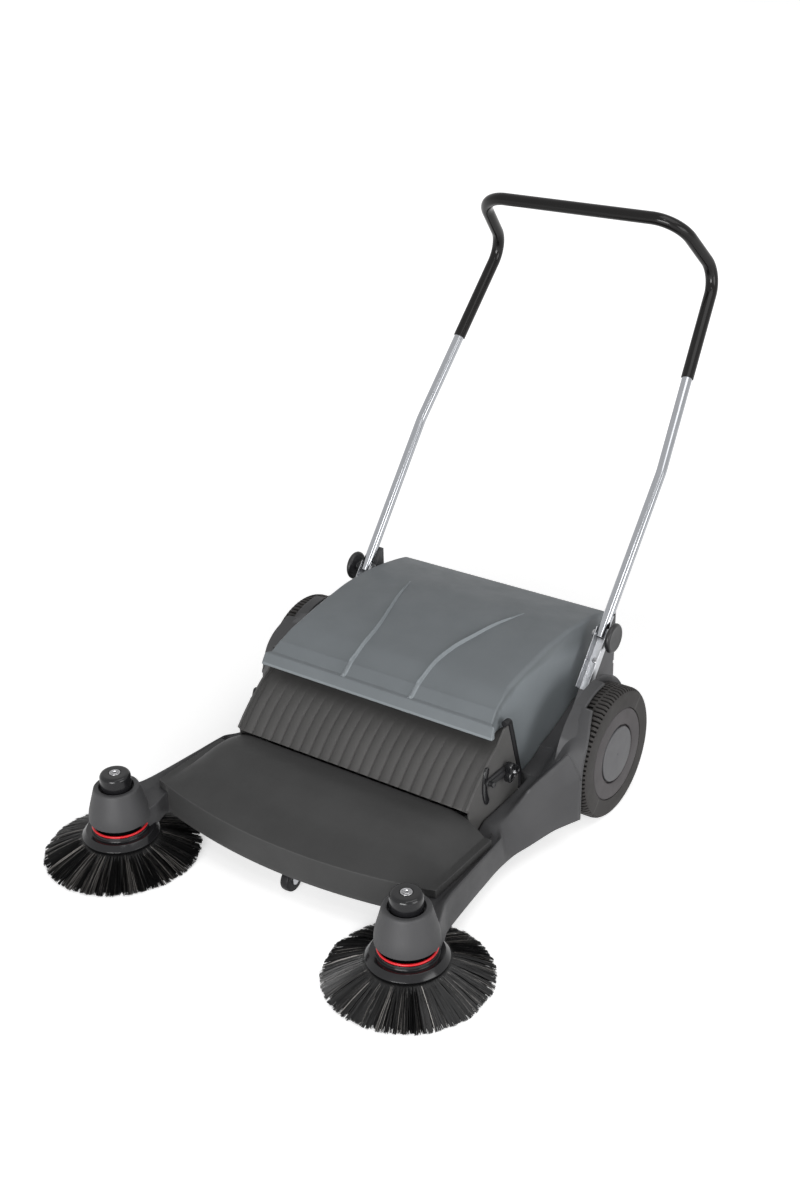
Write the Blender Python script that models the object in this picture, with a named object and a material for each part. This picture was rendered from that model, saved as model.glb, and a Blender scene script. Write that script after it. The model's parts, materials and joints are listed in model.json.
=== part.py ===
"""A push sweeper with two side brushes, a main brush, a lift-off hopper and a folding handle.

All sizes are in metres. The machine's own frame has the wheel axle at y = 0, the ground at
z = 0 and the front towards -Y. Its right is +X, as seen by someone who stands before it. The
whole machine hangs on one empty that puts its footprint's middle at the origin.
"""
import math

import bmesh
import bpy
from mathutils import Matrix, Vector

# Gaps and walls
SEAT = 0.0003               # left between two pieces that touch
WALL = 0.0035               # moulded frame and hood
SHEET = 0.002               # bent steel sheet
FINE = 24                   # sides of tyres and discs
ROUND = 16                  # sides of dials, flanges and towers
SMALL = 12                  # sides of shafts and screws

# Wheels
WHEEL_RADIUS = 0.135
WHEEL_WIDTH = 0.055
WHEEL_FACE_X = 0.393        # outer face, from the middle of the machine
RIM_RADIUS = 0.095          # where the tyre sits on the disc
CAP_RADIUS = 0.057
CAP_GAP = 0.0035            # dark groove round the hub cap
AXLE_RADIUS = 0.008
AXLE_INNER_X = 0.261
BEARING_RADIUS = 0.015

# Hopper
HOPPER_HALF_WIDTH = 0.255
HOPPER_TOP_HALF_WIDTH = 0.250
HOPPER_FLOOR_Z = 0.064
HOPPER_REAR_Y = 0.206
HOPPER_REAR_LEAN = 0.020    # how far the rear wall's foot lies in front of its top
HOPPER_WALL = 0.003
HOPPER_EDGE = 0.012         # rounding between top and sides
LIP_HALF_WIDTH = 0.275

# Side frames
FRAME_CLEARANCE = 0.004     # between hopper or brush cover and side frame
COVER_HALF_WIDTH = 0.276
ARM_TOP_Z = 0.1115
ARM_FOOT_Z = 0.052
ARCH_CLEARANCE = 0.006      # between tyre and wheel arch
ARCH_WALL = 0.006
ARCH_LIP_X = 0.356          # how far the arch reaches out over the tyre
FRAME_REAR_Y = 0.155
LEDGE_WIDTH = 0.016         # rail that carries the hopper

# Main brush
MAIN_BRUSH_RADIUS = 0.092
MAIN_BRUSH_Y = -0.272
MAIN_BRUSH_Z = 0.093
MAIN_BRUSH_HALF_LENGTH = 0.250
MAIN_CORE_RADIUS = 0.034
BRUSH_SHAFT_RADIUS = 0.006
SWING_Y = -0.234            # pivot of the brush arms and their levers
SWING_Z = 0.182
SWING_PIN_RADIUS = 0.005
ARM_PLATE = 0.005
CHEEK_WALL = 0.004
LEVER_REACH = 0.066
HEIGHT_KNOB_RADIUS = 0.022
HEIGHT_KNOB_WIDTH = 0.014

# Drive
DRIVE_PULLEY_RADIUS = 0.018
BRUSH_PULLEY_RADIUS = 0.009
SIDE_PULLEY_RADIUS = 0.0095
PULLEY_FLANGE = 0.0015
MAIN_BELT_X = 0.2895
MAIN_BELT_WIDTH = 0.0080
MAIN_BELT_THICKNESS = 0.002
SIDE_BELT_X = 0.3000
SIDE_BELT_RADIUS = 0.002
TENSIONER_Y = -0.175
TENSIONER_Z = 0.107
TENSIONER_RADIUS = 0.006

# Side brushes and their towers
TOWER_X = 0.338
TOWER_Y = -0.650
TOWER_BASE_Z = 0.083
TOWER_TOP_Z = 0.153
TOWER_BASE_RADIUS = 0.0585
TOWER_TOP_RADIUS = 0.044
TOWER_WALL = 0.003
DIAL_RADIUS = 0.030
DIAL_TOP_Z = 0.182
DIAL_RECESS = 0.010
SIDE_BRUSH_RADIUS = 0.156
FLANGE_RADIUS = 0.0745
FLANGE_RIM_Z = 0.0485       # lower edge of the flange's bevel
FLANGE_TOP_RADIUS = 0.066
FLANGE_TOP_Z = 0.060
COLLAR_RADIUS = 0.0550      # raised part of the flange that carries the red ring
COLLAR_TOP_Z = 0.0665
STEM_RADIUS = 0.006
SPINDLE_RADIUS = 0.009
SPINDLE_PULLEY_Z = 0.089
RING_RADIUS = 0.0525
RING_THICKNESS = 0.0022
BRISTLE_TIP_Z = 0.001
BRISTLE_ROW_STEP = 0.017    # how much shorter each inner row of tufts reaches

# Hood and brush cover
HOOD_HALF_WIDTH = 0.334
HOOD_BACK_Y = -0.362
HOOD_FRONT_Y = -0.595
HOOD_BOW = 0.45             # how fast the front edge falls back, per metre of x squared
APRON_HALF_WIDTH = 0.2996
APRON_FOOT_Z = 0.055
COVER_WALL = 0.003
FLUTES = 22
FLUTE_MARGIN = 0.010        # plain strip at each end of the flutes
FLUTE_DEPTH = 0.0045
CHEEK_TRIM = [(-0.223, 0.274), (-0.184, 0.147)]     # rear edge of a cheek, top and foot

# Caster
CASTER_X = 0.012
CASTER_Y = -0.543
CASTER_TRAIL = 0.020
CASTER_RADIUS = 0.024
CASTER_WIDTH = 0.018
CASTER_PLATE_Z = 0.064

# Handle
PIVOT_X = 0.292
PIVOT_Y = 0.106
PIVOT_Z = 0.325
LEG_ANGLE = math.radians(50.6)
TUBE_RADIUS = 0.011
TUBE_BORE = 0.0095
SLEEVE_RADIUS = 0.0132
SLEEVE_START_Z = 0.759
LEG_KNEE_Z = 0.600          # where the legs start to lean in
REAR_BEND_X = 0.260
REAR_BEND_Z = 0.9405
TOP_BAR_Y = 0.477
TOP_BAR_Z = 1.072
TOP_BAR_X = 0.232           # corner of the top bar before rounding
KNEE_BEND = 0.150
REAR_BEND = 0.055
TOP_BEND = 0.070
TUBE_END = 0.006            # tube below the pivot
BRACKET_REACH_UP = 0.014
BRACKET_REACH_DOWN = 0.115
BRACKET_BACK = 0.013        # web's front face behind the tube's axis
BRACKET_FRONT = 0.007
POST_OUTER_X = 0.297        # outer face of the gusset behind the bracket
BOLT_RADIUS = 0.004
CLAMP_KNOB_RADIUS = 0.031
CLAMP_KNOB_X = 0.319

# Values that follow from the sizes above
AXLE_Z = WHEEL_RADIUS
WHEEL_INNER_X = WHEEL_FACE_X - WHEEL_WIDTH
WELL_RADIUS = WHEEL_RADIUS + ARCH_CLEARANCE
ARCH_RADIUS = WELL_RADIUS + ARCH_WALL
FRAME_INNER_X = HOPPER_HALF_WIDTH + FRAME_CLEARANCE
FRAME_FRONT_X = COVER_HALF_WIDTH + FRAME_CLEARANCE
ARCH_PANEL_X = WHEEL_INNER_X - 0.003
HOOD_EDGE_Z = ARM_TOP_Z + SEAT + WALL
BRACKET_HALF_INNER = TUBE_RADIUS + SEAT
BRACKET_HALF_WIDTH = BRACKET_HALF_INNER + SHEET
LEG = Vector((0, math.cos(LEG_ANGLE), math.sin(LEG_ANGLE)))
LEG_FRONT = Vector((0, -math.sin(LEG_ANGLE), math.cos(LEG_ANGLE)))
PIVOT = Vector((PIVOT_X, PIVOT_Y, PIVOT_Z))


for old in list(bpy.data.objects):
    bpy.data.objects.remove(old, do_unlink=True)

MACHINE = bpy.data.objects.new("machine_frame", None)
bpy.context.scene.collection.objects.link(MACHINE)


# Materials

FINISHES = {
    "frame_plastic": ((0.050, 0.050, 0.052), 0.55, 0.0),
    "hood_plastic": ((0.038, 0.039, 0.040), 0.55, 0.0),
    "cover_plastic": ((0.085, 0.085, 0.082), 0.60, 0.0),
    "hopper_plastic": ((0.140, 0.162, 0.168), 0.50, 0.0),
    "black_plastic": ((0.012, 0.012, 0.013), 0.35, 0.0),
    "gloss_black": ((0.008, 0.008, 0.009), 0.12, 0.0),
    "sleeve_black": ((0.010, 0.010, 0.011), 0.18, 0.0),
    "tyre_rubber": ((0.060, 0.050, 0.048), 0.85, 0.0),
    "wheel_plastic": ((0.095, 0.088, 0.092), 0.60, 0.0),
    "cap_plastic": ((0.125, 0.118, 0.125), 0.50, 0.0),
    "rubber": ((0.015, 0.015, 0.016), 0.70, 0.0),
    "red_rubber": ((0.550, 0.010, 0.015), 0.30, 0.0),
    "bristle": ((0.018, 0.018, 0.020), 0.50, 0.0),
    "chrome": ((0.750, 0.760, 0.780), 0.12, 1.0),
    "zinc": ((0.700, 0.710, 0.730), 0.35, 1.0),
    "steel": ((0.550, 0.550, 0.560), 0.30, 1.0),
    "painted_steel": ((0.030, 0.030, 0.032), 0.45, 0.3),
    "belt_rubber": ((0.020, 0.020, 0.020), 0.80, 0.0),
    "nylon": ((0.220, 0.220, 0.210), 0.45, 0.0),
}
MATERIALS = {}


def material(key):
    """The Principled material of one finish, made once."""
    if key not in MATERIALS:
        colour, roughness, metallic = FINISHES[key]
        mat = bpy.data.materials.new(key)
        mat.use_nodes = True
        shader = mat.node_tree.nodes["Principled BSDF"]
        shader.inputs["Base Color"].default_value = (*colour, 1)
        shader.inputs["Roughness"].default_value = roughness
        shader.inputs["Metallic"].default_value = metallic
        MATERIALS[key] = mat
    return MATERIALS[key]


# Shapes

def add(name, bm, finish, pivot=(0, 0, 0), parent=None, sharp=35):
    """Turns a bmesh in machine coordinates into a named object with its origin at pivot."""
    bmesh.ops.translate(bm, verts=bm.verts, vec=-Vector(pivot))
    bmesh.ops.recalc_face_normals(bm, faces=bm.faces)
    bmesh.ops.triangulate(bm, faces=bm.faces)
    mesh = bpy.data.meshes.new(name)
    bm.to_mesh(mesh)
    bm.free()
    mesh.shade_smooth()
    mesh.set_sharp_from_angle(angle=math.radians(sharp))
    obj = bpy.data.objects.new(name, mesh)
    bpy.context.scene.collection.objects.link(obj)
    mesh.materials.append(material(finish))
    obj.location = pivot
    obj.parent = MACHINE
    return obj


def boolean(target, tool, operation, name):
    """Cuts the target with a hidden helper solid, or joins it on."""
    helper = add(name, tool, "rubber")
    helper.hide_render = True
    helper.display_type = "WIRE"
    modifier = target.modifiers.new(name, "BOOLEAN")
    modifier.operation = operation
    modifier.object = helper


def dissolve(obj):
    """Merges the flat facets that Booleans leave behind."""
    modifier = obj.modifiers.new("dissolve", "DECIMATE")
    modifier.decimate_type = "DISSOLVE"
    modifier.angle_limit = math.radians(0.5)


def cut(target, tool, name):
    boolean(target, tool, "DIFFERENCE", name)


def join(target, tool, name):
    boolean(target, tool, "UNION", name)


def sided(bm, side):
    """Mirrors a right-hand shape to the left when side is -1."""
    if side < 0:
        bmesh.ops.scale(bm, vec=(-1, 1, 1), verts=bm.verts)
        bmesh.ops.reverse_faces(bm, faces=bm.faces)
    return bm


def group(*shapes):
    """Several separate solids as one mesh."""
    whole = bmesh.new()
    for shape in shapes:
        mesh = bpy.data.meshes.new("shape")
        shape.to_mesh(mesh)
        shape.free()
        whole.from_mesh(mesh)
        bpy.data.meshes.remove(mesh)
    return whole


def bridge(bm, first, second):
    """Faces between two rings of vertices; a ring of one vertex is a pole."""
    count = max(len(first), len(second))
    for i in range(count):
        j = (i + 1) % count
        if len(first) == 1:
            bm.faces.new((first[0], second[j], second[i]))
        elif len(second) == 1:
            bm.faces.new((first[i], first[j], second[0]))
        else:
            bm.faces.new((first[i], first[j], second[j], second[i]))


def turned(profile, sides=ROUND, place=Matrix()):
    """A solid of revolution round local Z from (radius, height) points.

    A profile that starts and ends on the axis is a plain solid, any other is a closed ring.
    """
    bm = bmesh.new()
    rings = []
    for radius, height in profile:
        if radius == 0:
            rings.append([bm.verts.new(place @ Vector((0, 0, height)))])
            continue
        ring = []
        for k in range(sides):
            angle = 2 * math.pi * k / sides
            point = Vector((radius * math.cos(angle), radius * math.sin(angle), height))
            ring.append(bm.verts.new(place @ point))
        rings.append(ring)
    for lower, upper in zip(rings, rings[1:]):
        bridge(bm, lower, upper)
    if len(rings[0]) > 1:
        bridge(bm, rings[-1], rings[0])
    return bm


def on_x(y, z):
    """Places a turned shape with its axis along +X through (y, z); heights become x."""
    return Matrix.Translation((0, y, z)) @ Matrix.Rotation(math.pi / 2, 4, "Y")


def on_z(x, y):
    """Places a turned shape on a vertical axis through (x, y)."""
    return Matrix.Translation((x, y, 0))


def rod(radius, low, high, sides=SMALL, place=Matrix(), edge=0.0):
    """A plain round bar with small chamfers."""
    profile = [(0, low), (radius - edge, low)]
    if edge:
        profile += [(radius, low + edge), (radius, high - edge)]
    profile += [(radius - edge, high), (0, high)]
    return turned(profile, sides, place)


def ring(inner, outer, low, high, sides=SMALL, place=Matrix()):
    """A plain bush or washer."""
    return turned([(inner, low), (outer, low), (outer, high), (inner, high)], sides, place)


def block(low, high):
    """A box between two corners."""
    bm = bmesh.new()
    bmesh.ops.create_cube(bm, size=1)
    low, high = Vector(low), Vector(high)
    for vert in bm.verts:
        for axis in range(3):
            vert.co[axis] = high[axis] if vert.co[axis] > 0 else low[axis]
    return bm


def prism(outline, start, end, to_point):
    """A flat outline pushed from start to end; to_point turns (a, b, depth) into a place."""
    bm = bmesh.new()
    near = [bm.verts.new(to_point(a, b, start)) for a, b in outline]
    far = [bm.verts.new(to_point(a, b, end)) for a, b in outline]
    bm.faces.new(near)
    bm.faces.new(far)
    bridge(bm, near, far)
    return bm


def side_plate(outline, x0, x1):
    """A (y, z) outline that is x1 - x0 thick."""
    return prism(outline, x0, x1, lambda a, b, depth: Vector((depth, a, b)))


def cross_plate(outline, y0, y1):
    """An (x, z) outline between y0 and y1."""
    return prism(outline, y0, y1, lambda a, b, depth: Vector((a, depth, b)))


def frames_along(points, closed):
    """Tangents and side vectors that don't twist along a path."""
    count = len(points)
    tangents = []
    for i in range(count):
        if closed:
            before, after = points[i - 1], points[(i + 1) % count]
        else:
            before, after = points[max(i - 1, 0)], points[min(i + 1, count - 1)]
        tangents.append((after - before).normalized())
    side = tangents[0].orthogonal().normalized()
    frames = []
    for tangent in tangents:
        side = (side - tangent * side.dot(tangent)).normalized()
        frames.append((tangent, side, tangent.cross(side)))
    return frames


def swept(points, radius, sides=8, bore=0.0, closed=False):
    """A round bar or tube along a path."""
    bm = bmesh.new()
    shells = [radius, bore] if bore else [radius]
    skins = []
    for size in shells:
        rings = []
        for point, (_, u, v) in zip(points, frames_along(points, closed)):
            turns = [2 * math.pi * k / sides for k in range(sides)]
            places = [point + (u * math.cos(a) + v * math.sin(a)) * size for a in turns]
            rings.append([bm.verts.new(place) for place in places])
        for first, second in zip(rings, rings[1:]):
            bridge(bm, first, second)
        if closed:
            bridge(bm, rings[-1], rings[0])
        skins.append(rings)
    if closed:
        return bm
    for end in (0, -1):
        if bore:
            bridge(bm, skins[0][end], skins[1][end])
        else:
            bm.faces.new(skins[0][end])
    return bm


def rounded_path(corners, radii):
    """A path through corner points, each rounded by an arc of its own radius."""
    path = [corners[0]]
    for before, corner, after, radius in zip(corners, corners[1:], corners[2:], radii):
        into = (corner - before).normalized()
        out = (after - corner).normalized()
        turn = into.angle(out)
        steps = max(2, round(math.degrees(turn) / 25))
        inward = (out - into).normalized()
        centre = corner + inward * (radius / math.cos(turn / 2))
        start = corner - into * (radius * math.tan(turn / 2)) - centre
        axis = into.cross(out).normalized()
        for k in range(steps + 1):
            path.append(centre + Matrix.Rotation(turn * k / steps, 3, axis) @ start)
    path.append(corners[-1])
    return path


def grid_shell(grid, thickness):
    """A closed shell: a grid of outer points, and the same grid set back along its normals.

    Rows run rearwards or upwards, and each row runs from left to right.
    """
    rows, columns = len(grid), len(grid[0])
    bm = bmesh.new()
    outer, inner = [], []
    for i in range(rows):
        outer_row, inner_row = [], []
        for j in range(columns):
            along = grid[min(i + 1, rows - 1)][j] - grid[max(i - 1, 0)][j]
            across = grid[i][min(j + 1, columns - 1)] - grid[i][max(j - 1, 0)]
            normal = across.cross(along).normalized()
            outer_row.append(bm.verts.new(grid[i][j]))
            inner_row.append(bm.verts.new(grid[i][j] - normal * thickness))
        outer.append(outer_row)
        inner.append(inner_row)
    for skin in (outer, inner):
        for i in range(rows - 1):
            for j in range(columns - 1):
                corners = (skin[i][j], skin[i + 1][j], skin[i + 1][j + 1], skin[i][j + 1])
                bm.faces.new(corners)
    for i in range(rows - 1):
        for j in (0, columns - 1):
            bm.faces.new((outer[i][j], outer[i + 1][j], inner[i + 1][j], inner[i][j]))
    for j in range(columns - 1):
        for i in (0, rows - 1):
            bm.faces.new((outer[i][j], outer[i][j + 1], inner[i][j + 1], inner[i][j]))
    return bm


def lerp(a, b, share):
    return a + (b - a) * share


def between(x, points):
    """Straight interpolation in a short list of (x, value) points."""
    if x <= points[0][0]:
        return points[0][1]
    for (x0, v0), (x1, v1) in zip(points, points[1:]):
        if x <= x1:
            return lerp(v0, v1, (x - x0) / (x1 - x0))
    return points[-1][1]


# Side frames: arm, shoulder, wheel arch, handle post and tower in one moulding

def arch_point(degrees, radius):
    """A (y, z) place on the wheel arch; 180 degrees is level with the axle at the front."""
    angle = math.radians(degrees)
    return radius * math.cos(angle), AXLE_Z + radius * math.sin(angle)


def arch_z(y):
    """Height of the wheel arch's outside at y."""
    return AXLE_Z + math.sqrt(max(ARCH_RADIUS ** 2 - y * y, 0))


def section(y, *outline):
    """One section of a side frame, from the inner foot over the top to the outer foot."""
    return [Vector((x, y, z)) for x, z in outline]


def arm_skin():
    """The arm and the shoulder in front of the wheel."""
    top = ARM_TOP_Z
    inner = FRAME_FRONT_X
    notch = APRON_HALF_WIDTH + 0.0007
    rows = []
    for y, inner_x, shoulder_x, foot_x in [
            (TOWER_Y + 0.012, 0.291, 0.384, 0.391), (TOWER_Y + 0.050, 0.291, 0.368, 0.378),
            (-0.558, notch, 0.352, 0.361), (-0.550, notch, 0.350, 0.360),
            (-0.535, inner, 0.348, 0.358),
            (-0.420, inner, 0.337, 0.345), (-0.345, inner, 0.331, 0.340)]:
        edge_x = lerp(shoulder_x, foot_x, 0.6)
        rows.append(section(y, (inner_x, ARM_FOOT_Z + 0.003), (inner_x, top),
                            (lerp(inner_x, shoulder_x, 0.5), top), (shoulder_x, top - 0.0005),
                            (edge_x, top - 0.006), (foot_x, ARM_FOOT_Z)))
    for y, shoulder, crest, wall, foot in [
            (-0.310, (0.3075, 0.1130), (0.3150, 0.1105), (0.3200, 0.1030), (0.3410, 0.050)),
            (-0.264, (0.3020, 0.1145), (0.3140, 0.1205), (0.3285, 0.0985), (0.3510, 0.048)),
            (-0.206, (0.2988, 0.1176), (0.3280, 0.1580), (0.3490, 0.1170), (0.3650, 0.044)),
            (-0.172, (0.2975, 0.1210), (0.3485, 0.1840), (0.3680, 0.1400), (0.3770, 0.043)),
            (-0.1445, (0.2975, 0.1260), (0.3630, 0.2040), (0.3895, 0.1600), (0.3890, 0.043))]:
        rows.append(section(y, (inner, foot[1] - 0.004), (inner, shoulder[1] - 0.0005), shoulder,
                            crest, wall, foot))
    return grid_shell(rows, WALL)


def wing_skin():
    """The part of the shoulder in front of the wheel's top, out to the arch's edge."""
    rows = []
    for y, inner_z, shoulder, ramp, rise, crest, edge in [
            (-0.1465, 0.1255, (0.2975, 0.1260), (0.3180, 0.1520), (0.3380, 0.1780),
             (0.3620, 0.2025), (0.3910, 0.1470)),
            (-0.1180, 0.1310, (0.2970, 0.1370), (0.3200, 0.1720), (0.3335, 0.2140),
             (0.3660, 0.2225), (0.3875, 0.2205)),
            (-0.0950, 0.1370, (0.2970, 0.1450), (0.3215, 0.1880), (0.3335, 0.2410),
             (0.3600, 0.2470), (0.3800, 0.2460)),
            (-0.0735, 0.1480, (0.2970, 0.1520), (0.3225, 0.2050), (0.3340, 0.2580),
             (0.3520, 0.2620), (0.3710, 0.2600))]:
        rows.append(section(y, (FRAME_INNER_X, 0.0405), (FRAME_INNER_X, inner_z), shoulder, ramp,
                            rise, crest, edge))
    return grid_shell(rows, WALL)


def wheel_skin():
    """The part of the shoulder beside the wheel, hollow underneath."""
    rows = []
    panel = ARCH_PANEL_X - 0.0005
    for y, shoulder, ramp, height in [
            (-0.0770, (0.2960, 0.1490), (0.3220, 0.2030), arch_z(-0.0770)),
            (-0.0450, (0.2980, 0.1560), (0.3230, 0.2130), arch_z(-0.0450)),
            (0.0000, (0.3000, 0.1700), (0.3240, 0.2260), arch_z(0.0)),
            (0.0600, (0.3060, 0.1920), (0.3270, 0.2300), arch_z(0.0600)),
            (0.1000, (0.3140, 0.1920), (0.3290, 0.2150), arch_z(0.1000)),
            (0.1300, (0.3180, 0.1900), (0.3300, 0.1950), 0.2015),
            (FRAME_REAR_Y, (0.3180, 0.1560), (0.3300, 0.1520), 0.1525)]:
        inner_z = shoulder[1] - 0.0005 if y < 0.14 else 0.160
        rows.append(section(y, (FRAME_INNER_X, 0.0405), (FRAME_INNER_X, inner_z), shoulder, ramp,
                            (panel, height - 0.0025)))
    return grid_shell(rows, WALL)


def arch_band():
    """The curved wall over the tyre, wide in front of the wheel and a narrow lip above it."""
    full = WHEEL_FACE_X - 0.001
    stations = [(-ARCH_RADIUS, 0.043, full), (-ARCH_RADIUS, 0.090, full)]
    for degrees, reach in [(180, full), (165, full), (152, full - 0.001), (140, full - 0.005),
                           (130, full - 0.012), (119.5, full - 0.020),
                           *[(118.5 - 15 * k, ARCH_LIP_X) for k in range(8)],
                           (3, ARCH_LIP_X - 0.003)]:
        stations.append((*arch_point(degrees, ARCH_RADIUS), reach))
    bm = bmesh.new()
    rings = []
    low_x = ARCH_PANEL_X - WALL + 0.0005
    for y, z, reach in stations:
        out = Vector((0, y, z - AXLE_Z)).normalized() if z > AXLE_Z else Vector((0, -1, 0))
        outer, inner = Vector((0, y, z)), Vector((0, y, z)) - out * ARCH_WALL
        if z > AXLE_Z:
            inner = Vector((0, 0, AXLE_Z)) + out * WELL_RADIUS
        ring_points = [(low_x, inner), (reach - 0.001, inner), (reach, outer - out * 0.0025),
                       (reach - 0.0025, outer), (low_x, outer)]
        rings.append([bm.verts.new((x, p.y, p.z)) for x, p in ring_points])
    for first, second in zip(rings, rings[1:]):
        bridge(bm, first, second)
    bm.faces.new(rings[0])
    bm.faces.new(rings[-1])
    return bm


def arch_panel():
    """Upright wall between the wheel and the inside of the frame."""
    radius = ARCH_RADIUS - 0.001
    outline = [(-radius, 0.045)] + [arch_point(180 - 180 * k / 12, radius) for k in range(13)]
    outline += [(FRAME_REAR_Y - 0.001, 0.134), (FRAME_REAR_Y - 0.001, 0.045)]
    return side_plate(outline, ARCH_PANEL_X - WALL, ARCH_PANEL_X)


def tower_shell():
    """The cone that houses a side brush's spindle, solid; its bore is cut later."""
    profile = [
        (0, TOWER_BASE_Z), (TOWER_BASE_RADIUS, TOWER_BASE_Z),
        (TOWER_BASE_RADIUS - 0.0015, TOWER_BASE_Z + 0.020),
        (TOWER_TOP_RADIUS + 0.003, TOWER_TOP_Z - 0.012),
        (TOWER_TOP_RADIUS, TOWER_TOP_Z - 0.003),
        (TOWER_TOP_RADIUS - 0.003, TOWER_TOP_Z), (0, TOWER_TOP_Z),
    ]
    return turned(profile, ROUND, on_z(TOWER_X, TOWER_Y))


def tower_bore():
    """Room for the flange, room inside the tower, the dial's recess and the stem's hole."""
    floor = TOWER_TOP_Z - DIAL_RECESS
    ceiling = floor - 0.006
    flange_room = FLANGE_RADIUS + 0.0025
    under = TOWER_BASE_Z - SEAT
    profile = [
        (0, FLANGE_RIM_Z - 0.012), (flange_room, FLANGE_RIM_Z - 0.012), (flange_room, under),
        (TOWER_BASE_RADIUS - TOWER_WALL, under),
        (TOWER_BASE_RADIUS - TOWER_WALL, TOWER_BASE_Z + 0.012),
        (TOWER_TOP_RADIUS - 0.003, ceiling), (STEM_RADIUS + SEAT, ceiling),
        (STEM_RADIUS + SEAT, floor), (DIAL_RADIUS + 0.002, floor),
        (DIAL_RADIUS + 0.002, TOWER_TOP_Z + 0.010), (0, TOWER_TOP_Z + 0.010),
    ]
    return turned(profile, ROUND, on_z(TOWER_X, TOWER_Y))


def leg_point(along, front, x=0.0):
    """A place near the handle's lower end: along the leg, and in front of its axis."""
    return PIVOT + LEG * along + LEG_FRONT * front + Vector((x - PIVOT_X, 0, 0))


def post_outline(inset):
    """Side view of the post behind the handle bracket: a gusset with a blunt apex."""
    back = -(BRACKET_BACK + SHEET + SEAT) - inset
    rear = FRAME_REAR_Y - inset
    low_z = 0.160 - inset
    apex = leg_point((rear - PIVOT_Y + LEG.z * back) / LEG.y, back)
    blunt = leg_point((rear - PIVOT_Y + LEG.z * back) / LEG.y - 0.005, back)
    base = leg_point((low_z - PIVOT_Z - LEG_FRONT.z * back) / LEG.z, back)
    return [(base.y, low_z), (rear, low_z), (rear, apex.z - 0.001), (rear - 0.002, apex.z),
            (blunt.y, blunt.z)]


def side_frame(name, side):
    """One side of the chassis."""
    frame = add(name, sided(arm_skin(), side), "frame_plastic")
    join(frame, sided(wing_skin(), side), name + "_wing_skin")
    join(frame, sided(wheel_skin(), side), name + "_wheel_skin")
    join(frame, sided(arch_band(), side), name + "_arch_band")
    join(frame, sided(arch_panel(), side), name + "_arch_panel")
    rear = [(FRAME_INNER_X + 0.001, 0.0415), (FRAME_INNER_X + 0.001, 0.158), (0.317, 0.154),
            (ARCH_PANEL_X - 0.001, 0.148), (ARCH_PANEL_X - 0.001, 0.0455)]
    rear_wall = cross_plate(rear, FRAME_REAR_Y - WALL, FRAME_REAR_Y - 0.0005)
    join(frame, sided(rear_wall, side), name + "_rear_wall")
    front = [(FRAME_INNER_X + 0.001, 0.0415), (FRAME_INNER_X + 0.001, 0.1245),
             (FRAME_FRONT_X + 0.002, 0.1245), (FRAME_FRONT_X + 0.002, 0.0415)]
    join(frame, sided(cross_plate(front, -0.1460, -0.1430), side), name + "_front_wall")
    x0, x1 = PIVOT_X - BRACKET_HALF_WIDTH, POST_OUTER_X
    join(frame, sided(side_plate(post_outline(0), x0, x1), side), name + "_post")
    ledge = block((FRAME_INNER_X - LEDGE_WIDTH, -0.110, HOPPER_FLOOR_Z - SEAT - 0.005),
                  (FRAME_INNER_X + 0.002, 0.118, HOPPER_FLOOR_Z - SEAT))
    join(frame, sided(ledge, side), name + "_ledge")
    join(frame, sided(tower_shell(), side), name + "_tower")
    if side > 0:
        pin = rod(0.003, FRAME_FRONT_X + 0.001, MAIN_BELT_X + MAIN_BELT_WIDTH / 2 + 0.001, 6,
                  on_x(TENSIONER_Y, TENSIONER_Z))
        join(frame, pin, name + "_tensioner_pin")
    cut(frame, sided(tower_bore(), side), name + "_tower_bore")
    passage = block((TOWER_X - 0.034, TOWER_Y + 0.020, 0.045),
                    (TOWER_X + 0.022, TOWER_Y + 0.074, 0.1035))
    cut(frame, sided(passage, side), name + "_belt_passage")
    cut(frame, sided(side_plate(post_outline(WALL), x0 + WALL, x1 - WALL), side), name + "_post_room")
    holes = [
        rod(AXLE_RADIUS + SEAT, FRAME_INNER_X - 0.004, FRAME_INNER_X + 0.008, SMALL, on_x(0, AXLE_Z)),
        rod(BEARING_RADIUS + SEAT, ARCH_PANEL_X - 0.008, ARCH_PANEL_X + 0.004, SMALL, on_x(0, AXLE_Z)),
        slot_cutter(FRAME_FRONT_X - 0.003, FRAME_FRONT_X + 0.008),
    ]
    cut(frame, sided(group(*holes), side), name + "_holes")
    dissolve(frame)


def slot_cutter(x0, x1):
    """The window that the brush shaft moves in."""
    return block((x0, MAIN_BRUSH_Y - 0.024, MAIN_BRUSH_Z - 0.012),
                 (x1, MAIN_BRUSH_Y + 0.012, MAIN_BRUSH_Z + 0.0155))


# Hood

def hood_front_y(x):
    return HOOD_FRONT_Y + HOOD_BOW * x * x


def hood_z(share, x):
    """Height of the hood: a round bulge at the back, a flatter ledge in front, low ends."""
    crown = between(share, [(0.0, 0.150), (0.12, 0.160), (0.28, 0.165), (0.45, 0.157), (0.62, 0.142),
                            (0.74, 0.133), (0.90, 0.121), (1.0, HOOD_EDGE_Z)])
    fall = min(max((HOOD_HALF_WIDTH - 0.012 - abs(x)) / 0.085, 0), 1)
    fall = fall * fall * (3 - 2 * fall)
    return HOOD_EDGE_Z + (crown - HOOD_EDGE_Z) * fall


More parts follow.
